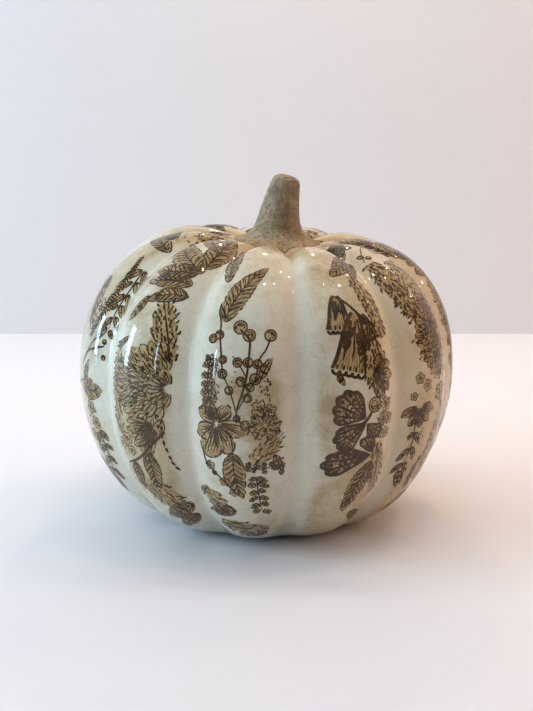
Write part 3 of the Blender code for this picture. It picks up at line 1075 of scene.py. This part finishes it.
def plume(sheet, base, tip, width, bend, pitch, pen, slant=0.8):
    """A big ragged feather or leaf, covered in short curved touches that lean out from its middle."""
    axis, share, length, along, across = spine(base, tip, bend)
    half = 0.5 * width * np.sin(math.pi * (0.07 + 0.86 * share)).clip(0.0) ** 0.55
    half = half * (1.0 + 0.10 * np.sin(share * length * 1.3) + 0.05 * np.sin(share * length * 3.1))

    def feathery(down, side):
        return 0.5 * down / HATCH_PITCH + 2.0 * side * side, 0.05 + 0.15 * abs(side)

    ribbon(sheet, axis + half[:, None] * across, axis - half[:, None] * across, 0, feathery)
    for down in np.arange(0.4, length, pitch):
        spot = np.array([np.interp(down / length, share, axis[:, i]) for i in (0, 1)])
        reach = float(np.interp(down / length, share, half))
        for off in np.arange(-reach, reach + 0.1, 1.25 * pitch):
            if rng.uniform() < PLUME_GAPS:
                continue
            off = PLUME_NARROWING * off + rng.uniform(-0.5, 0.5)
            side = off / max(reach, 0.1)
            start = spot + off * across + rng.uniform(-0.6, 0.6) * along
            size = rng.uniform(1.6, 3.2)
            lean = slant * side + rng.uniform(-0.35, 0.35)
            out = math.cos(lean) * along + math.sin(lean) * across
            curl = rng.uniform(-0.5, 0.5) * np.array([out[1], -out[0]])
            touch = [start, start + 0.5 * size * out + curl, start + size * out]
            stroke(sheet, touch, pen * rng.uniform(0.6, 1.4) * LINE, 0.6, 0.1)


def twig(sheet, points, buds=(), size=1.3, width=1.4):
    """A woody stem with small buds at the given points."""
    stroke(sheet, points, width * LINE, 0.9, 0.5)
    for bud in buds:
        berry(sheet, bud, size)


def leaf_pairs(sheet, points, count, size, width, lean=0.6):
    """A stem with leaves in pairs along it."""
    path = smooth_path(points)
    side, along = sideways(path), np.gradient(path, axis=0)
    stroke(sheet, points, 1.2 * LINE)
    for index in np.linspace(1, len(path) - 2, count).astype(int):
        ahead = along[index] / (np.hypot(*along[index]) + 1e-9)
        for sign in (1, -1):
            here = size * rng.uniform(0.7, 1.2)
            root = path[index] + rng.uniform(-0.6, 0.6) * ahead + 0.15 * here * sign * side[index]
            tip = path[index] + here * (sign * side[index] + lean * rng.uniform(0.6, 1.5) * ahead)
            leaf(sheet, root, tip, width * rng.uniform(0.8, 1.2), rng.uniform(-0.4, 0.4), 2, 0.1)


print("motifs: leaf, frond, berry, floret, petal, fan, stipple, plume, twig and leaf pairs")

# %% [markdown]
# ## Motifs in rows
#
# Bigger motifs are made of the small ones. A chrysanthemum seen from the side is rows of petals around a
# heart, a bell blossom is a cup with a lobed mouth, and a butterfly's wing is a scalloped rim with veins
# and stripes. A thicker pen makes them as dark as the plate's deepest lines.

# %% Larger motifs


def scales(sheet, heart, reach, rows, start, end, count, width, pen=1.0):
    """Rows of petals around a heart, between two directions in degrees, with dark touches near the tips."""
    heart, reach = np.asarray(heart, float), np.asarray(reach, float)
    for row in range(rows):
        grown = (row + 1) / rows
        near, far = 0.12 + 0.88 * row / rows, 0.12 + 0.88 * (row + 1.1) / rows
        here = int(count * (0.45 + 0.55 * grown))
        for index in range(here):
            turn = math.radians(start + (index + 0.5 + 0.3 * (row % 2)) / here * (end - start))
            out = reach * heading(turn)
            tip = heart + far * rng.uniform(0.95, 1.02) * out
            petal(sheet, heart + near * out, tip, width * (0.55 + 0.45 * grown), 1, 1, 0.8 * pen, 0.10)
            for _ in range(1 + row % 2):
                spot = heart + rng.uniform(0.80, 0.99) * (tip - heart) + rng.uniform(-0.9, 0.9, 2)
                dab(sheet, spot, 2.4, 1.3 * pen, turn_of(out) + rng.uniform(-0.3, 0.3))


def bell(sheet, root, mouth, width, pen):
    """A bell-shaped blossom that hangs from its root, shaded on its right."""
    axis, share, _, along, across = spine(root, mouth)
    half = 0.5 * width * (0.16 + 0.62 * np.sin(0.5 * math.pi * share ** 0.7) + 0.22 * share ** 6)
    left, right = axis + half[:, None] * across, axis - half[:, None] * across
    ribbon(sheet, left, right, 0, lambda along, side: (0.5 * width * side / HATCH_PITCH, 0.35 - 0.25 * side))
    stroke(sheet, left, pen * LINE, 0.8, 0.8)
    stroke(sheet, right, 1.3 * pen * LINE, 0.8, 0.8)
    for line in range(8):
        off = (line + 0.5) / 8 * 2.0 - 1.0
        first = int(rng.uniform(0.12, 0.40) * len(axis))
        last = int(rng.uniform(0.55, 1.0) * (len(axis) - 1))
        inside = axis - 0.86 * off * half[:, None] * across
        curve = [inside[i] + rng.normal(0.0, 0.15, 2) for i in range(first, last, 2)]
        if len(curve) > 1:
            stroke(sheet, curve, pen * LINE * (1.3 if off > 0.3 else 0.7), 0.7, 0.2)
    for lobe in range(5):
        off = (lobe + 0.5) / 5 * 2.0 - 1.0
        spot = axis[-1] + 0.92 * off * half[-1] * across
        ring(sheet, spot + 0.4 * along, 0.11 * width, pen * LINE, turn_of(along) - 1.6, 3.2)
        dab(sheet, spot - 0.9 * along, 2.4, 1.0, turn_of(along))


def wing(sheet, root, reach, start, end, veins=5, pen=1.9):
    """A butterfly's wing between two directions in degrees: a scalloped dark rim, veins, spots, stripes."""
    root = np.asarray(root, float)
    turn = np.radians(np.linspace(start, end, 8 * veins + 1))
    out = np.stack([np.cos(turn), np.sin(turn)], -1)
    fullness = np.sin(np.linspace(0.25, 0.90, len(turn)) * math.pi) ** 0.5
    scallop = 1.0 - 0.07 * np.abs(np.cos(np.linspace(0.0, math.pi * veins, len(turn)))) ** 3
    scallop = scallop * (1.0 + 0.06 * np.sin(np.linspace(0.0, 5.0, len(turn)) + rng.uniform(0.0, 6.0)))
    rim = root + (reach * fullness * scallop)[:, None] * out
    inner = root + 0.08 * (rim - root)
    ribbon(sheet, inner, rim, 0, lambda along, side: (4.0 * side, 0.2 + 0.35 * (side > 0)))
    stroke(sheet, rim, pen * LINE, 0.9, 0.9)
    stroke(sheet, root + 0.93 * (rim - root), 0.8 * pen * LINE, 0.9, 0.9)
    for vein in range(veins + 1):
        spot = rim[8 * vein]
        stroke(sheet, [spot, root + 0.55 * (spot - root), root], pen * LINE, 1.0, 0.3)
    for cell in range(veins):
        here, aim = rim[8 * cell:8 * cell + 8], out[8 * cell + 4]
        dab(sheet, root + 0.84 * (here[4] - root), 0.15 * reach, 0.09 * reach, turn_of(aim))
        for level in (0.36, 0.50, 0.64):
            stripe = [root + level * rng.uniform(0.92, 1.08) * (here[step] - root) for step in (1, 4, 7)]
            stripe[1] = stripe[1] + 0.04 * reach * aim
            stroke(sheet, stripe, pen * rng.uniform(0.5, 1.1) * LINE, 0.5, 0.3)


print("larger motifs: scales, bell and wing")

# %% [markdown]
# ## The strips of print
#
# The transfer paper is cut into strips, one for each rib, from a sheet of flowers, berries and
# butterflies. Five strips are drawn here. The sheet repeats, so the other ribs carry the same strips,
# shifted or turned over.

# %% Strip with berries and a blossom


def berry_strip():
    """Two leaves, berries on twigs, an open blossom with large petals, and leaves and plumes below."""
    sheet = new_sheet()
    leaf(sheet, (-9.5, 61), (-9.5, 20), 6.5, 0.8, 10, 0.6)
    leaf(sheet, (-8.5, 80.5), (6.5, 51), 9.5, 1.4, 10, 0.8)
    twig(sheet, [(-10.5, 72), (-11, 76), (-9.8, 81), (-9.6, 88), (-8.6, 97), (-8, 103)])
    main = [(-1, 84), (3, 88), (3.4, 93), (3, 98), (2.6, 103), (1, 110), (-1.5, 118), (-2, 124)]
    twig(sheet, main, width=1.7)
    twig(sheet, [(12, 87), (10.5, 92), (7.5, 97), (6.5, 104), (3.5, 110), (-1, 118)], width=1.2)
    twig(sheet, [(-8, 103), (-5.5, 108), (-3.4, 114), (-1.6, 121)], width=1.1)
    twig(sheet, [(-1.5, 98), (0.5, 101), (2.2, 104)], width=1.0)
    for place, size in (
        ((-1, 83), 3.1), ((3, 86.5), 2.8), ((12, 86), 2.7), ((-13, 88), 2.0), ((-10, 86.4), 2.0),
        ((-8, 97), 1.8), ((-8, 103), 2.1), ((-1.5, 98), 2.1), ((3, 98), 2.2), ((7, 98.5), 2.0),
        ((6.2, 104.8), 2.5), ((0, 106), 2.1), ((4, 108.4), 1.9), ((3, 113), 2.0), ((-5, 110), 1.9),
        ((2, 125), 2.2), ((-1.6, 122), 1.5),
    ):
        berry(sheet, place, size)
    leaf(sheet, (8.5, 105), (13.5, 95.5), 3.2, 0.5, 3, 0.5)
    stipple(sheet, (12, 109), (1.3, 5.0), 11, 1.1)
    leaf_pairs(sheet, [(-13.5, 95), (-15, 107), (-13, 119)], 7, 3.6, 2.4)
    plume(sheet, (-12.5, 108), (-15.5, 121), 6.0, 0.0, 1.7, 1.0)
    stipple(sheet, (-12.5, 106), (3.4, 12.0), 26, 0.9)
    stipple(sheet, (-3, 104), (7.0, 9.0), 10, 0.8)
    stipple(sheet, (10, 104), (3.0, 9.0), 12, 1.0)
    for root, tip, size, spots in (
        ((-11, 124), (-19, 119), 6.0, 3), ((-11, 124), (-15, 115.5), 5.0, 3),
        ((-10.5, 124), (-5, 117), 6.5, 3), ((-10, 124.5), (3, 128), 7.5, 4),
        ((-11, 126), (-20, 131), 8.0, 8), ((-11, 126), (-15, 141), 11.0, 14),
        ((-10.5, 126), (-5, 138), 8.5, 10),
    ):
        petal(sheet, root, tip, size, 4, spots, 1.25)
    floret(sheet, (8.0, 117.5), 3.4)
    floret(sheet, (12.5, 118.5), 2.8)
    scales(sheet, (10.5, 125), (6.8, 6.6), 2, 0.0, 360.0, 8, 4.6, 0.8)
    stipple(sheet, (9, 117), (4.5, 4.5), 14, 0.9)
    plume(sheet, (4.5, 141.5), (16.5, 131.0), 8.5, -0.6, 1.7, 1.2, 0.5)
    twig(sheet, [(-6, 127), (-4.2, 132), (-3.6, 139)], width=1.0)
    leaf(sheet, (-3.6, 138), (-0.5, 162), 9.5, -1.2, 9, 0.5)
    twig(sheet, [(-18, 138), (-16, 145), (-9, 152), (-3, 159)], [(-15.5, 145), (-12.5, 149)], 1.1)
    for place in ((-14.5, 145.5), (-8, 153), (-4, 158.5)):
        floret(sheet, place, 2.2)
    leaf_pairs(sheet, [(1, 144), (8, 145.5), (14, 144.5)], 4, 2.6, 1.9)
    leaf(sheet, (14.5, 139), (17.5, 150.5), 3.4, 0.3, 4, 0.8)
    stipple(sheet, (17.5, 146), (1.8, 5.0), 10, 1.2)
    leaf_pairs(sheet, [(6, 149), (6.6, 158), (7.5, 170)], 6, 4.2, 2.3)
    plume(sheet, (-20, 160), (-7, 172), 9.0, 0.8, 1.7, 1.5)
    stroke(sheet, [(-20, 160), (-14, 167), (-8, 172)], 1.4 * LINE)
    leaf(sheet, (-4, 170), (-17, 176), 7.0, -1.0, 7, 0.7)
    plume(sheet, (-12, 181), (9.5, 185), 11.0, -1.0, 1.8, 1.5)
    stroke(sheet, [(-12, 181), (-1, 184), (9, 185)], 1.4 * LINE)
    leaf(sheet, (8, 188), (-5, 193), 6.0, 0.8, 5, 0.6)
    return sheet

# %% Strip with a chrysanthemum


def chrysanthemum_strip():
    """Overlapping leaves, a chrysanthemum seen from the side, a blossom, a branch and a dashed tendril."""
    sheet = new_sheet()
    leaf(sheet, (-3, 23), (-9, 13), 4.5, 0.4, 4, 1.0)
    leaf(sheet, (13, 56), (-13, 38), 12.0, 2.0, 10, 0.5)
    leaf(sheet, (12.5, 53), (0, 20), 9.0, -1.5, 10, 0.5)
    leaf(sheet, (9, 40), (-8, 26), 7.0, 1.0, 6, 0.6)
    leaf(sheet, (12, 57), (-9, 60), 9.5, 0.8, 8, 0.9)
    leaf(sheet, (13.5, 63.5), (-9, 66.5), 7.5, -0.8, 8, 0.8)
    leaf(sheet, (15, 69.5), (-3.5, 75), 7.0, -1.2, 7, 0.9)
    leaf(sheet, (-3.5, 73), (-11, 85), 4.2, 0.5, 5, 0.7)
    plume(sheet, (16.5, 100), (7.5, 75), 12.0, 1.0, 1.8, 1.6, 0.6)
    stroke(sheet, [(17, 101), (14, 90), (8, 77)], 1.6 * LINE)
    scales(sheet, (19, 112), (34.0, 20.5), 3, 98.0, 262.0, 17, 5.0, 1.1)
    plume(sheet, (-12, 94), (-12, 131), 6.5, -2.0, 1.8, 1.6, 1.3)
    stipple(sheet, (6, 112), (9.0, 12.0), 30, 1.0)
    stipple(sheet, (-8, 133), (7.0, 4.0), 14, 1.1)
    leaf(sheet, (-14.5, 97.5), (-6.5, 91.5), 2.6, 0.3, 3, 0.8)
    fan(sheet, (12, 129), 3.0, 19.0, 118.0, 178.0, 6, 5.0, hatch=3, touches=3, pen=1.1)
    twig(sheet, [(-17, 129), (-13, 134), (-8, 139)], [(-16, 130)], 1.3)
    for place, size in (((-13, 134), 3.0), ((-8, 138.5), 3.4), ((-12.5, 142), 3.0), ((-6, 144), 2.6)):
        floret(sheet, place, size)
    twig(sheet, [(14.5, 132), (6, 140), (-2, 147), (-11.5, 152)], width=2.4)
    leaf(sheet, (4, 142), (4, 165), 8.5, 0.6, 8, 1.0)
    leaf(sheet, (-5.5, 150), (-5, 165.5), 6.0, -0.5, 6, 0.9)
    for place, turn in (
        ((13.6, 127), 1.7), ((13.4, 130.5), 1.7), ((13.2, 134), 1.6), ((13.6, 137.5), 1.5),
        ((14.4, 141), 1.3), ((15.2, 145), 1.2), ((16.0, 148), 1.0), ((17.4, 150.8), 0.9),
    ):
        dab(sheet, place, 3.0, 1.2, turn)
    plume(sheet, (-2, 160), (13, 174), 14.0, 1.0, 1.9, 1.5, 0.9)
    leaf(sheet, (17, 173), (1, 183), 8.5, -0.8, 8, 0.9)
    leaf(sheet, (16, 181), (4, 191), 7.0, -0.6, 6, 0.8)
    return sheet

# %% Strip with bell blossoms and a butterfly


def butterfly_strip():
    """Leaves, three hanging bells, a butterfly and a cluster of florets."""
    sheet = new_sheet()
    leaf(sheet, (10, 34), (3, 18), 6.0, 0.4, 6, 0.5)
    leaf(sheet, (13, 40), (-2.5, 58), 10.0, 1.4, 9, 0.9)
    leaf(sheet, (14.5, 42), (8.5, 60), 9.0, -0.8, 8, 0.9)
    leaf(sheet, (12, 40), (16, 24), 6.5, 0.6, 6, 0.5)
    plume(sheet, (7, 58), (17, 90), 9.0, 1.5, 1.7, 1.7)
    twig(sheet, [(12, 84), (6, 80), (0, 73), (-5, 69)], width=2.2)
    bell(sheet, (-4, 69), (-5.5, 85), 11.0, 2.2)
    bell(sheet, (3, 78), (-3.5, 103), 16.0, 2.4)
    bell(sheet, (6, 79), (9.5, 89), 8.0, 2.0)
    leaf(sheet, (2, 97), (12, 83), 5.0, 0.8, 6, 1.0)
    leaf(sheet, (-9, 104.5), (-6, 109), 2.4, 0.1, 2, 1.0)
    plume(sheet, (8, 84), (12, 114), 12.5, -1.0, 1.7, 1.9, 0.9)
    fan(sheet, (8, 106), 1.0, 13.0, -50.0, 60.0, 5, 6.0, hatch=3, touches=6, pen=1.1)
    stipple(sheet, (14.5, 122), (5.0, 14.0), 60, 1.1)
    for place, size in (
        ((16, 120), 3.4), ((18.5, 127), 2.8), ((14.5, 126), 3.2), ((12, 132), 2.8), ((17, 133.5), 2.6),
    ):
        floret(sheet, place, size)
    berry(sheet, (9, 119), 3.6)
    wing(sheet, (4, 124.5), 17.0, 172.0, 262.0, 5)
    wing(sheet, (4.5, 126.5), 17.5, 118.0, 178.0, 4)
    wing(sheet, (5, 127), 9.5, 10.0, 85.0, 3, 1.5)
    wing(sheet, (8.5, 142.5), 22.0, 152.0, 204.0, 4, 2.4)
    wing(sheet, (8.5, 141), 9.0, 215.0, 290.0, 3, 1.5)
    stroke(sheet, [(-1, 129), (4.5, 125.5), (8, 121)], 3.0 * LINE, 0.5, 0.3)
    plume(sheet, (12, 137), (15.5, 166), 9.0, 0.6, 1.8, 1.4, 0.6)
    stroke(sheet, [(12, 137), (14, 150), (15.5, 164)], 1.5 * LINE)
    leaf(sheet, (9.5, 146), (1, 174), 9.0, -1.4, 11, 1.0)
    leaf(sheet, (6, 175), (14, 187), 6.0, 0.4, 6, 0.7)
    return sheet

# %% Strip with a great plumed leaf


def plume_strip():
    """Two plumes over a round flower head, florets, a fan of petals and a plumed leaf."""
    sheet = new_sheet()
    leaf(sheet, (8, 32), (-3, 16), 6.0, 0.6, 6, 0.4)
    twig(sheet, [(10, 38), (2, 36), (-6, 41), (-11, 48)], [(-9, 43.5), (-7, 46.5)], 1.4, 1.0)
    floret(sheet, (4, 43), 3.4)
    plume(sheet, (-10, 50), (-8, 86), 12.0, -1.0, 1.8, 1.6)
    plume(sheet, (1, 52), (6, 112), 16.0, 1.5, 1.9, 1.7)
    scales(sheet, (8, 95), (20.0, 20.0), 3, 100.0, 262.0, 14, 5.0, 1.1)
    stipple(sheet, (-12, 78), (4.0, 28.0), 50, 1.2)
    stipple(sheet, (6, 118), (8.0, 9.0), 30, 1.2)
    for root, tip, size in (((-12, 34), (2, 20), 7.0), ((4, 40), (12, 22), 7.0), ((-4, 34), (-9, 17), 5.5)):
        leaf(sheet, root, tip, size, 0.8, 8, 0.7)
    for place, size in (((-13, 112), 2.6), ((-8, 116), 2.8), ((-16.5, 120), 1.9), ((3, 121), 4.2)):
        floret(sheet, place, size)
    fan(sheet, (-13, 124), 2.0, 11.0, 20.0, 150.0, 5, 4.5, hatch=3, touches=3, pen=1.2)
    plume(sheet, (10, 126), (3, 166), 13.0, -1.4, 1.9, 1.3)
    stipple(sheet, (-8, 140), (3.0, 8.0), 12, 1.0)
    leaf_pairs(sheet, [(-15, 130), (-14, 142), (-15, 154)], 4, 4.0, 2.2, 1.2)
    frond(sheet, [(-4, 150), (-6, 160), (-4, 170)], 2.2, 1.6)
    leaf(sheet, (12, 150), (13, 168), 6.0, 0.8, 6, 0.6)
    leaf(sheet, (-16, 158), (-12, 168), 4.0, 0.3, 4, 0.9)
    leaf(sheet, (2, 172), (-8, 186), 6.0, 0.4, 6, 0.8)
    return sheet

# %% Strip with ferns and a twig


def fern_strip():
    """Leaves and ferns at the shoulder, a twig with buds, then a branch with two leaves and florets."""
    sheet = new_sheet()
    leaf(sheet, (14, 40), (9, 12), 6.0, -0.5, 8, 0.8)
    leaf(sheet, (13, 47), (-15, 45), 7.5, -0.8, 9, 0.9)
    leaf(sheet, (-9, 30), (-12, 12), 4.5, 0.4, 6, 0.8)
    plume(sheet, (9, 30), (-4, 14), 8.0, 0.8, 1.7, 1.3)
    leaf(sheet, (6, 42), (-8, 33), 5.5, 0.6, 6, 0.8)
    stipple(sheet, (2, 34), (9.0, 8.0), 20, 1.1)
    frond(sheet, [(8, 55), (12, 64), (13.5, 76), (12.0, 87), (8.0, 98)], 2.4, 1.5)
    leaf_pairs(sheet, [(16, 60), (19, 74), (19.5, 92)], 6, 5.5, 2.6, 1.4)
    frond(sheet, [(-9, 60), (-14, 72), (-17, 86), (-14, 99)], 2.4, 1.6)
    leaf(sheet, (-2, 70), (3, 92), 8.0, 1.0, 8, 0.8)
    floret(sheet, (9, 84), 4.2, 6)
    floret(sheet, (7, 91), 3.4)
    twig(sheet, [(3, 112), (8, 105), (14, 102), (20, 99.5)], [(19.5, 97.5), (20.5, 105)], 1.2, 2.0)
    twig(sheet, [(8, 105), (12, 99), (15, 96)], [(15.5, 95.5)], 1.1)
    twig(sheet, [(-14, 122), (-5, 122), (6, 118)], width=2.0)
    leaf(sheet, (4, 119.5), (21, 121), 10.0, -2.0, 8, 0.5)
    leaf(sheet, (-14, 121), (-24, 131), 8.0, 1.0, 7, 0.7)
    for place, size in (
        ((11, 131), 3.4), ((13, 138), 2.8), ((8, 145), 3.0), ((10.5, 152), 2.4), ((-12, 135), 3.2),
    ):
        floret(sheet, place, size)
    leaf_pairs(sheet, [(14, 142), (15, 152), (12, 164)], 4, 4.5, 2.4, 1.2)
    stipple(sheet, (12, 140), (4.5, 14.0), 26, 1.0)
    leaf(sheet, (6, 119), (11, 108), 4.5, 0.4, 4, 0.5)
    frond(sheet, [(-15, 136), (-13, 147), (-8, 158)], 2.2, 1.8)
    leaf(sheet, (2, 158), (10, 178), 8.0, 0.8, 8, 0.7)
    leaf(sheet, (-2, 158), (-9, 174), 6.5, -0.6, 7, 0.8)
    return sheet

# %% [markdown]
# ## Laying the print on the ribs
#
# A flat sheet is laid on a rib by keeping its lengths: v is measured down the outline, and u becomes an
# angle at the radius found there, so the drawing is neither stretched nor squeezed. Each point is then
# raised along the surface's own normal by the thickness of the ink.

# %% Wrap a sheet on a rib
NUDGE = 0.1 * MM


def wrap(sheet, name, rib, across, down, mirror):
    """A mesh of the sheet's ribbons on one rib, shifted by across and down in millimetres."""
    u, v, lift, phase, strength = np.array(sheet["points"]).T
    u = (mirror * u + across) * MM
    v = np.clip((v + down) * MM, NUDGE, outline_length[-1] - NUDGE)
    centre = FIRST_VALLEY + (rib + 0.5) * RIB_ANGLE

    def place(side, length):
        return on_outline(length, centre + side / outline_at(length)[0])

    downwards = place(u, v + NUDGE) - place(u, v - NUDGE)
    normal = np.cross(downwards, place(u + NUDGE, v) - place(u - NUDGE, v))
    normal = normal / np.linalg.norm(normal, axis=1)[:, None]
    points = place(u, v) + lift[:, None] * normal
    faces = []
    for face in sheet["faces"]:
        corners = [(u[i], v[i]) for i in face]
        area = sum(a[0] * b[1] - b[0] * a[1] for a, b in zip(corners, corners[1:] + corners[:1]))
        faces.append(face if area < 0.0 else face[::-1])
    radius, height = outline_at(v)
    values = {
        "ground": np.ones(len(u)), "stain_and_warm_light": tan_stain_and_painted_warm_side(radius, height, centre + u / radius),
        "phase": phase, "hatch": strength,
    }
    piece = mesh_piece(name, points, faces, [ink_tone, ink_line], values)
    piece.data.polygons.foreach_set("material_index", np.array(sheet["looks"], np.int32))

# %% [markdown]
# Rib -1 faces the camera, rib 0 is the next one towards +X, and the count goes on round the back. Each
# entry says which sheet a rib carries, how far it is shifted across and down in millimetres, and whether
# it is turned over (-1). The sheets are drawn once and in a fixed order, because the pen's random wobble
# is one sequence.

# %% Lay the strips
SHEETS = {
    "fern": fern_strip(), "mum": chrysanthemum_strip(), "berry": berry_strip(),
    "butterfly": butterfly_strip(), "plume": plume_strip(),
}
LAID = (
    (-4, "butterfly", 2.0, 6.0, -1.0), (-3, "fern", 0.0, 0.0, 1.0), (-2, "mum", 0.0, 0.0, 1.0),
    (-1, "berry", 0.0, 0.0, 1.0), (0, "butterfly", 0.0, 0.0, 1.0), (1, "plume", 0.0, 0.0, 1.0),
    (2, "mum", 1.0, -4.0, -1.0), (3, "berry", 2.0, 5.0, -1.0), (4, "fern", -1.0, -3.0, -1.0),
    (5, "butterfly", 1.0, -4.0, 1.0), (6, "plume", -2.0, 3.0, -1.0),
)
for rib, label, across, down, mirror in LAID:
    wrap(SHEETS[label], f"print_{label}_{rib % RIB_COUNT + 1}", rib, across, down, mirror)

# %% [markdown]
# ## The table and the light
#
# A plain pale table top and a pale wall behind it are staged, so they aren't part of the pumpkin. The
# wall shows only from the front: its back is transparent, so that the pumpkin can be looked at from
# behind.

# %% Floor and wall
WALL_DISTANCE = 420.0 * MM
STAGE_WIDTH = 6.0
TABLE_WHITE = (0.78, 0.765, 0.795)
WALL_WHITE = (0.795, 0.76, 0.755)
MOTTLE_DEPTH = 0.97


def make_stage_look(name, colour, clear_behind):
    """A plain pale paint, slightly mottled; with clear_behind its back can be looked through."""
    made, tree, shader = new_material(name, colour, Roughness=0.55)
    deeper = tuple(MOTTLE_DEPTH * value for value in colour)
    tree.links.new(blend(tree, cloud_mask(tree, 3.0, 0.2, 0.8), colour, deeper), shader.inputs["Base Color"])
    if clear_behind:
        behind = add(tree, "ShaderNodeNewGeometry").outputs["Backfacing"]
        tree.links.new(math_node(tree, "SUBTRACT", 1.0, behind), shader.inputs["Alpha"])
    return made


def make_board(name, corners, look):
    """A flat staged board through four corners."""
    mesh = bpy.data.meshes.new(name)
    mesh.from_pydata(corners, [], [(0, 1, 2, 3)])
    mesh.materials.append(look)
    made = bpy.data.objects.new(name, mesh)
    bpy.context.scene.collection.objects.link(made)
    print(f"{name}: staged")


half, back = 0.5 * STAGE_WIDTH, WALL_DISTANCE
make_board(
    "table_top",
    [(-half, -half, 0.0), (half, -half, 0.0), (half, back, 0.0), (-half, back, 0.0)],
    make_stage_look("table_white", TABLE_WHITE, False),
)
make_board(
    "wall_board",
    [(-half, back, 0.0), (half, back, 0.0), (half, back, half), (-half, back, half)],
    make_stage_look("wall_white", WALL_WHITE, True),
)

# %% [markdown]
# ## Lights
#
# A gloss shows what stands around it, so the lights do two jobs. The two tall narrow windows on the left
# and the five small warm lamps are there to be mirrored, as stripes and sparks. The big soft lights give
# the form its shade but would spoil the gloss, so they are hidden from reflections. The view's gamma, a
# little below 1, deepens the mid-tones.

# %% Lights
COOL, DAY = (0.47, 0.75, 1.0), (0.62, 0.84, 1.0)
WARM, GLOW, WHITE = (1.0, 0.72, 0.42), (1.0, 0.57, 0.29), (1.0, 0.96, 0.95)
SKY_WHITE, ROOM_WHITE = (1.0, 0.97, 0.93), (0.84, 0.88, 1.0)
SKY_STRENGTH, ROOM_STRENGTH = 0.92, 0.06
VIEW_GAMMA = 0.92
centre = Vector((0.0, 0.0, WIDEST_Z))


def make_light(name, place, aim, size, power, colour, mirrored=True):
    """An area light; one that isn't mirrored lights the pumpkin but doesn't show in its gloss."""
    lamp = bpy.data.lights.new(name, "AREA")
    lamp.shape = "RECTANGLE"
    lamp.size, lamp.size_y = size
    lamp.energy = power
    lamp.color = colour
    made = bpy.data.objects.new(name, lamp)
    made.location = place
    made.rotation_euler = (Vector(aim) - Vector(place)).to_track_quat("-Z", "Y").to_euler()
    made.visible_glossy = mirrored
    bpy.context.scene.collection.objects.link(made)
    print(f"{name}: {power} W")


def towards(azimuth, elevation, distance):
    """A place seen from the pumpkin's middle; azimuth 0 is the front and turns towards +X."""
    side, up = math.radians(azimuth), math.radians(elevation)
    across = distance * math.cos(up)
    return centre + Vector((across * math.sin(side), -across * math.cos(side), distance * math.sin(up)))


for name, azimuth, elevation, distance, size, power, colour, mirrored in (
    ("window", -95.0, 8.5, 1.30, (0.19, 0.48), 6.8, COOL, True),
    ("far_window", -51.0, 10.0, 1.30, (0.06, 0.42), 2.2, COOL, True),
    ("daylight", -72.0, 24.0, 1.40, (0.8, 0.8), 8.2, DAY, False),
    ("room_glow", 86.0, 20.0, 0.95, (0.5, 0.5), 2.2, GLOW, False),
):
    make_light(name, towards(azimuth, elevation, distance), centre, size, power, colour, mirrored)
wall_middle = (0.0, WALL_DISTANCE, 0.16)
make_light("wall_wash", (0.0, 0.16, 0.95), wall_middle, (1.6, 0.12), 3.8, WHITE, False)
for number, (azimuth, elevation, distance, power, share) in enumerate((
    (176.0, 46.0, 0.52, 0.22, 0.038), (131.0, 46.0, 0.75, 0.26, 0.022), (100.0, 62.0, 1.20, 0.60, 0.018),
    (78.0, 80.0, 1.25, 0.80, 0.032), (116.0, 28.0, 0.95, 0.35, 0.020),
)):
    size = share * distance
    place = towards(azimuth, elevation, distance)
    make_light(f"lamp_{number + 1}", place, centre, (size, size), power, WARM)


def make_world():
    """A soft room: bright above and dim at the height of the table."""
    world = bpy.data.worlds.new("studio")
    world.use_nodes = True
    tree = world.node_tree
    background = tree.nodes["Background"].inputs
    direction = add(tree, "ShaderNodeTexCoord").outputs["Generated"]
    height = add(tree, "ShaderNodeSeparateXYZ", {0: direction}).outputs["Z"]
    above = math_node(tree, "MAXIMUM", height, 0.0)
    glow = times(tree, math_node(tree, "POWER", above, 2.0), SKY_STRENGTH)
    tree.links.new(blend(tree, above, ROOM_WHITE, SKY_WHITE), background["Color"])
    tree.links.new(plus(tree, glow, ROOM_STRENGTH), background["Strength"])
    return world


bpy.context.scene.world = make_world()
view = bpy.context.scene.view_settings
view.view_transform = "Standard"
view.gamma = VIEW_GAMMA

# %% [markdown]
# ## The camera
#
# The camera looks slightly down from the front, from about seven times the pumpkin's radius, with a lens
# that keeps the outline natural.

# %% Camera
CAMERA_DISTANCE = 7.0 * BODY_RADIUS
CAMERA_RISE = math.radians(13.36)
CAMERA_AIM = (math.radians(0.528), math.radians(0.053))
LENS = 87.1

camera_data = bpy.data.cameras.new("camera")
camera_data.lens = LENS
camera_data.sensor_width = 36.0
camera_data.sensor_fit = "HORIZONTAL"
camera = bpy.data.objects.new("camera", camera_data)
camera.location = (
    0.0, -CAMERA_DISTANCE * math.cos(CAMERA_RISE), WIDEST_Z + CAMERA_DISTANCE * math.sin(CAMERA_RISE),
)
camera.rotation_euler = (0.5 * math.pi - CAMERA_RISE + CAMERA_AIM[0], 0.0, CAMERA_AIM[1])
bpy.context.scene.collection.objects.link(camera)
bpy.context.scene.camera = camera
print(f"a lens of {LENS} mm, {CAMERA_DISTANCE / MM:.0f} mm from the pumpkin's middle")
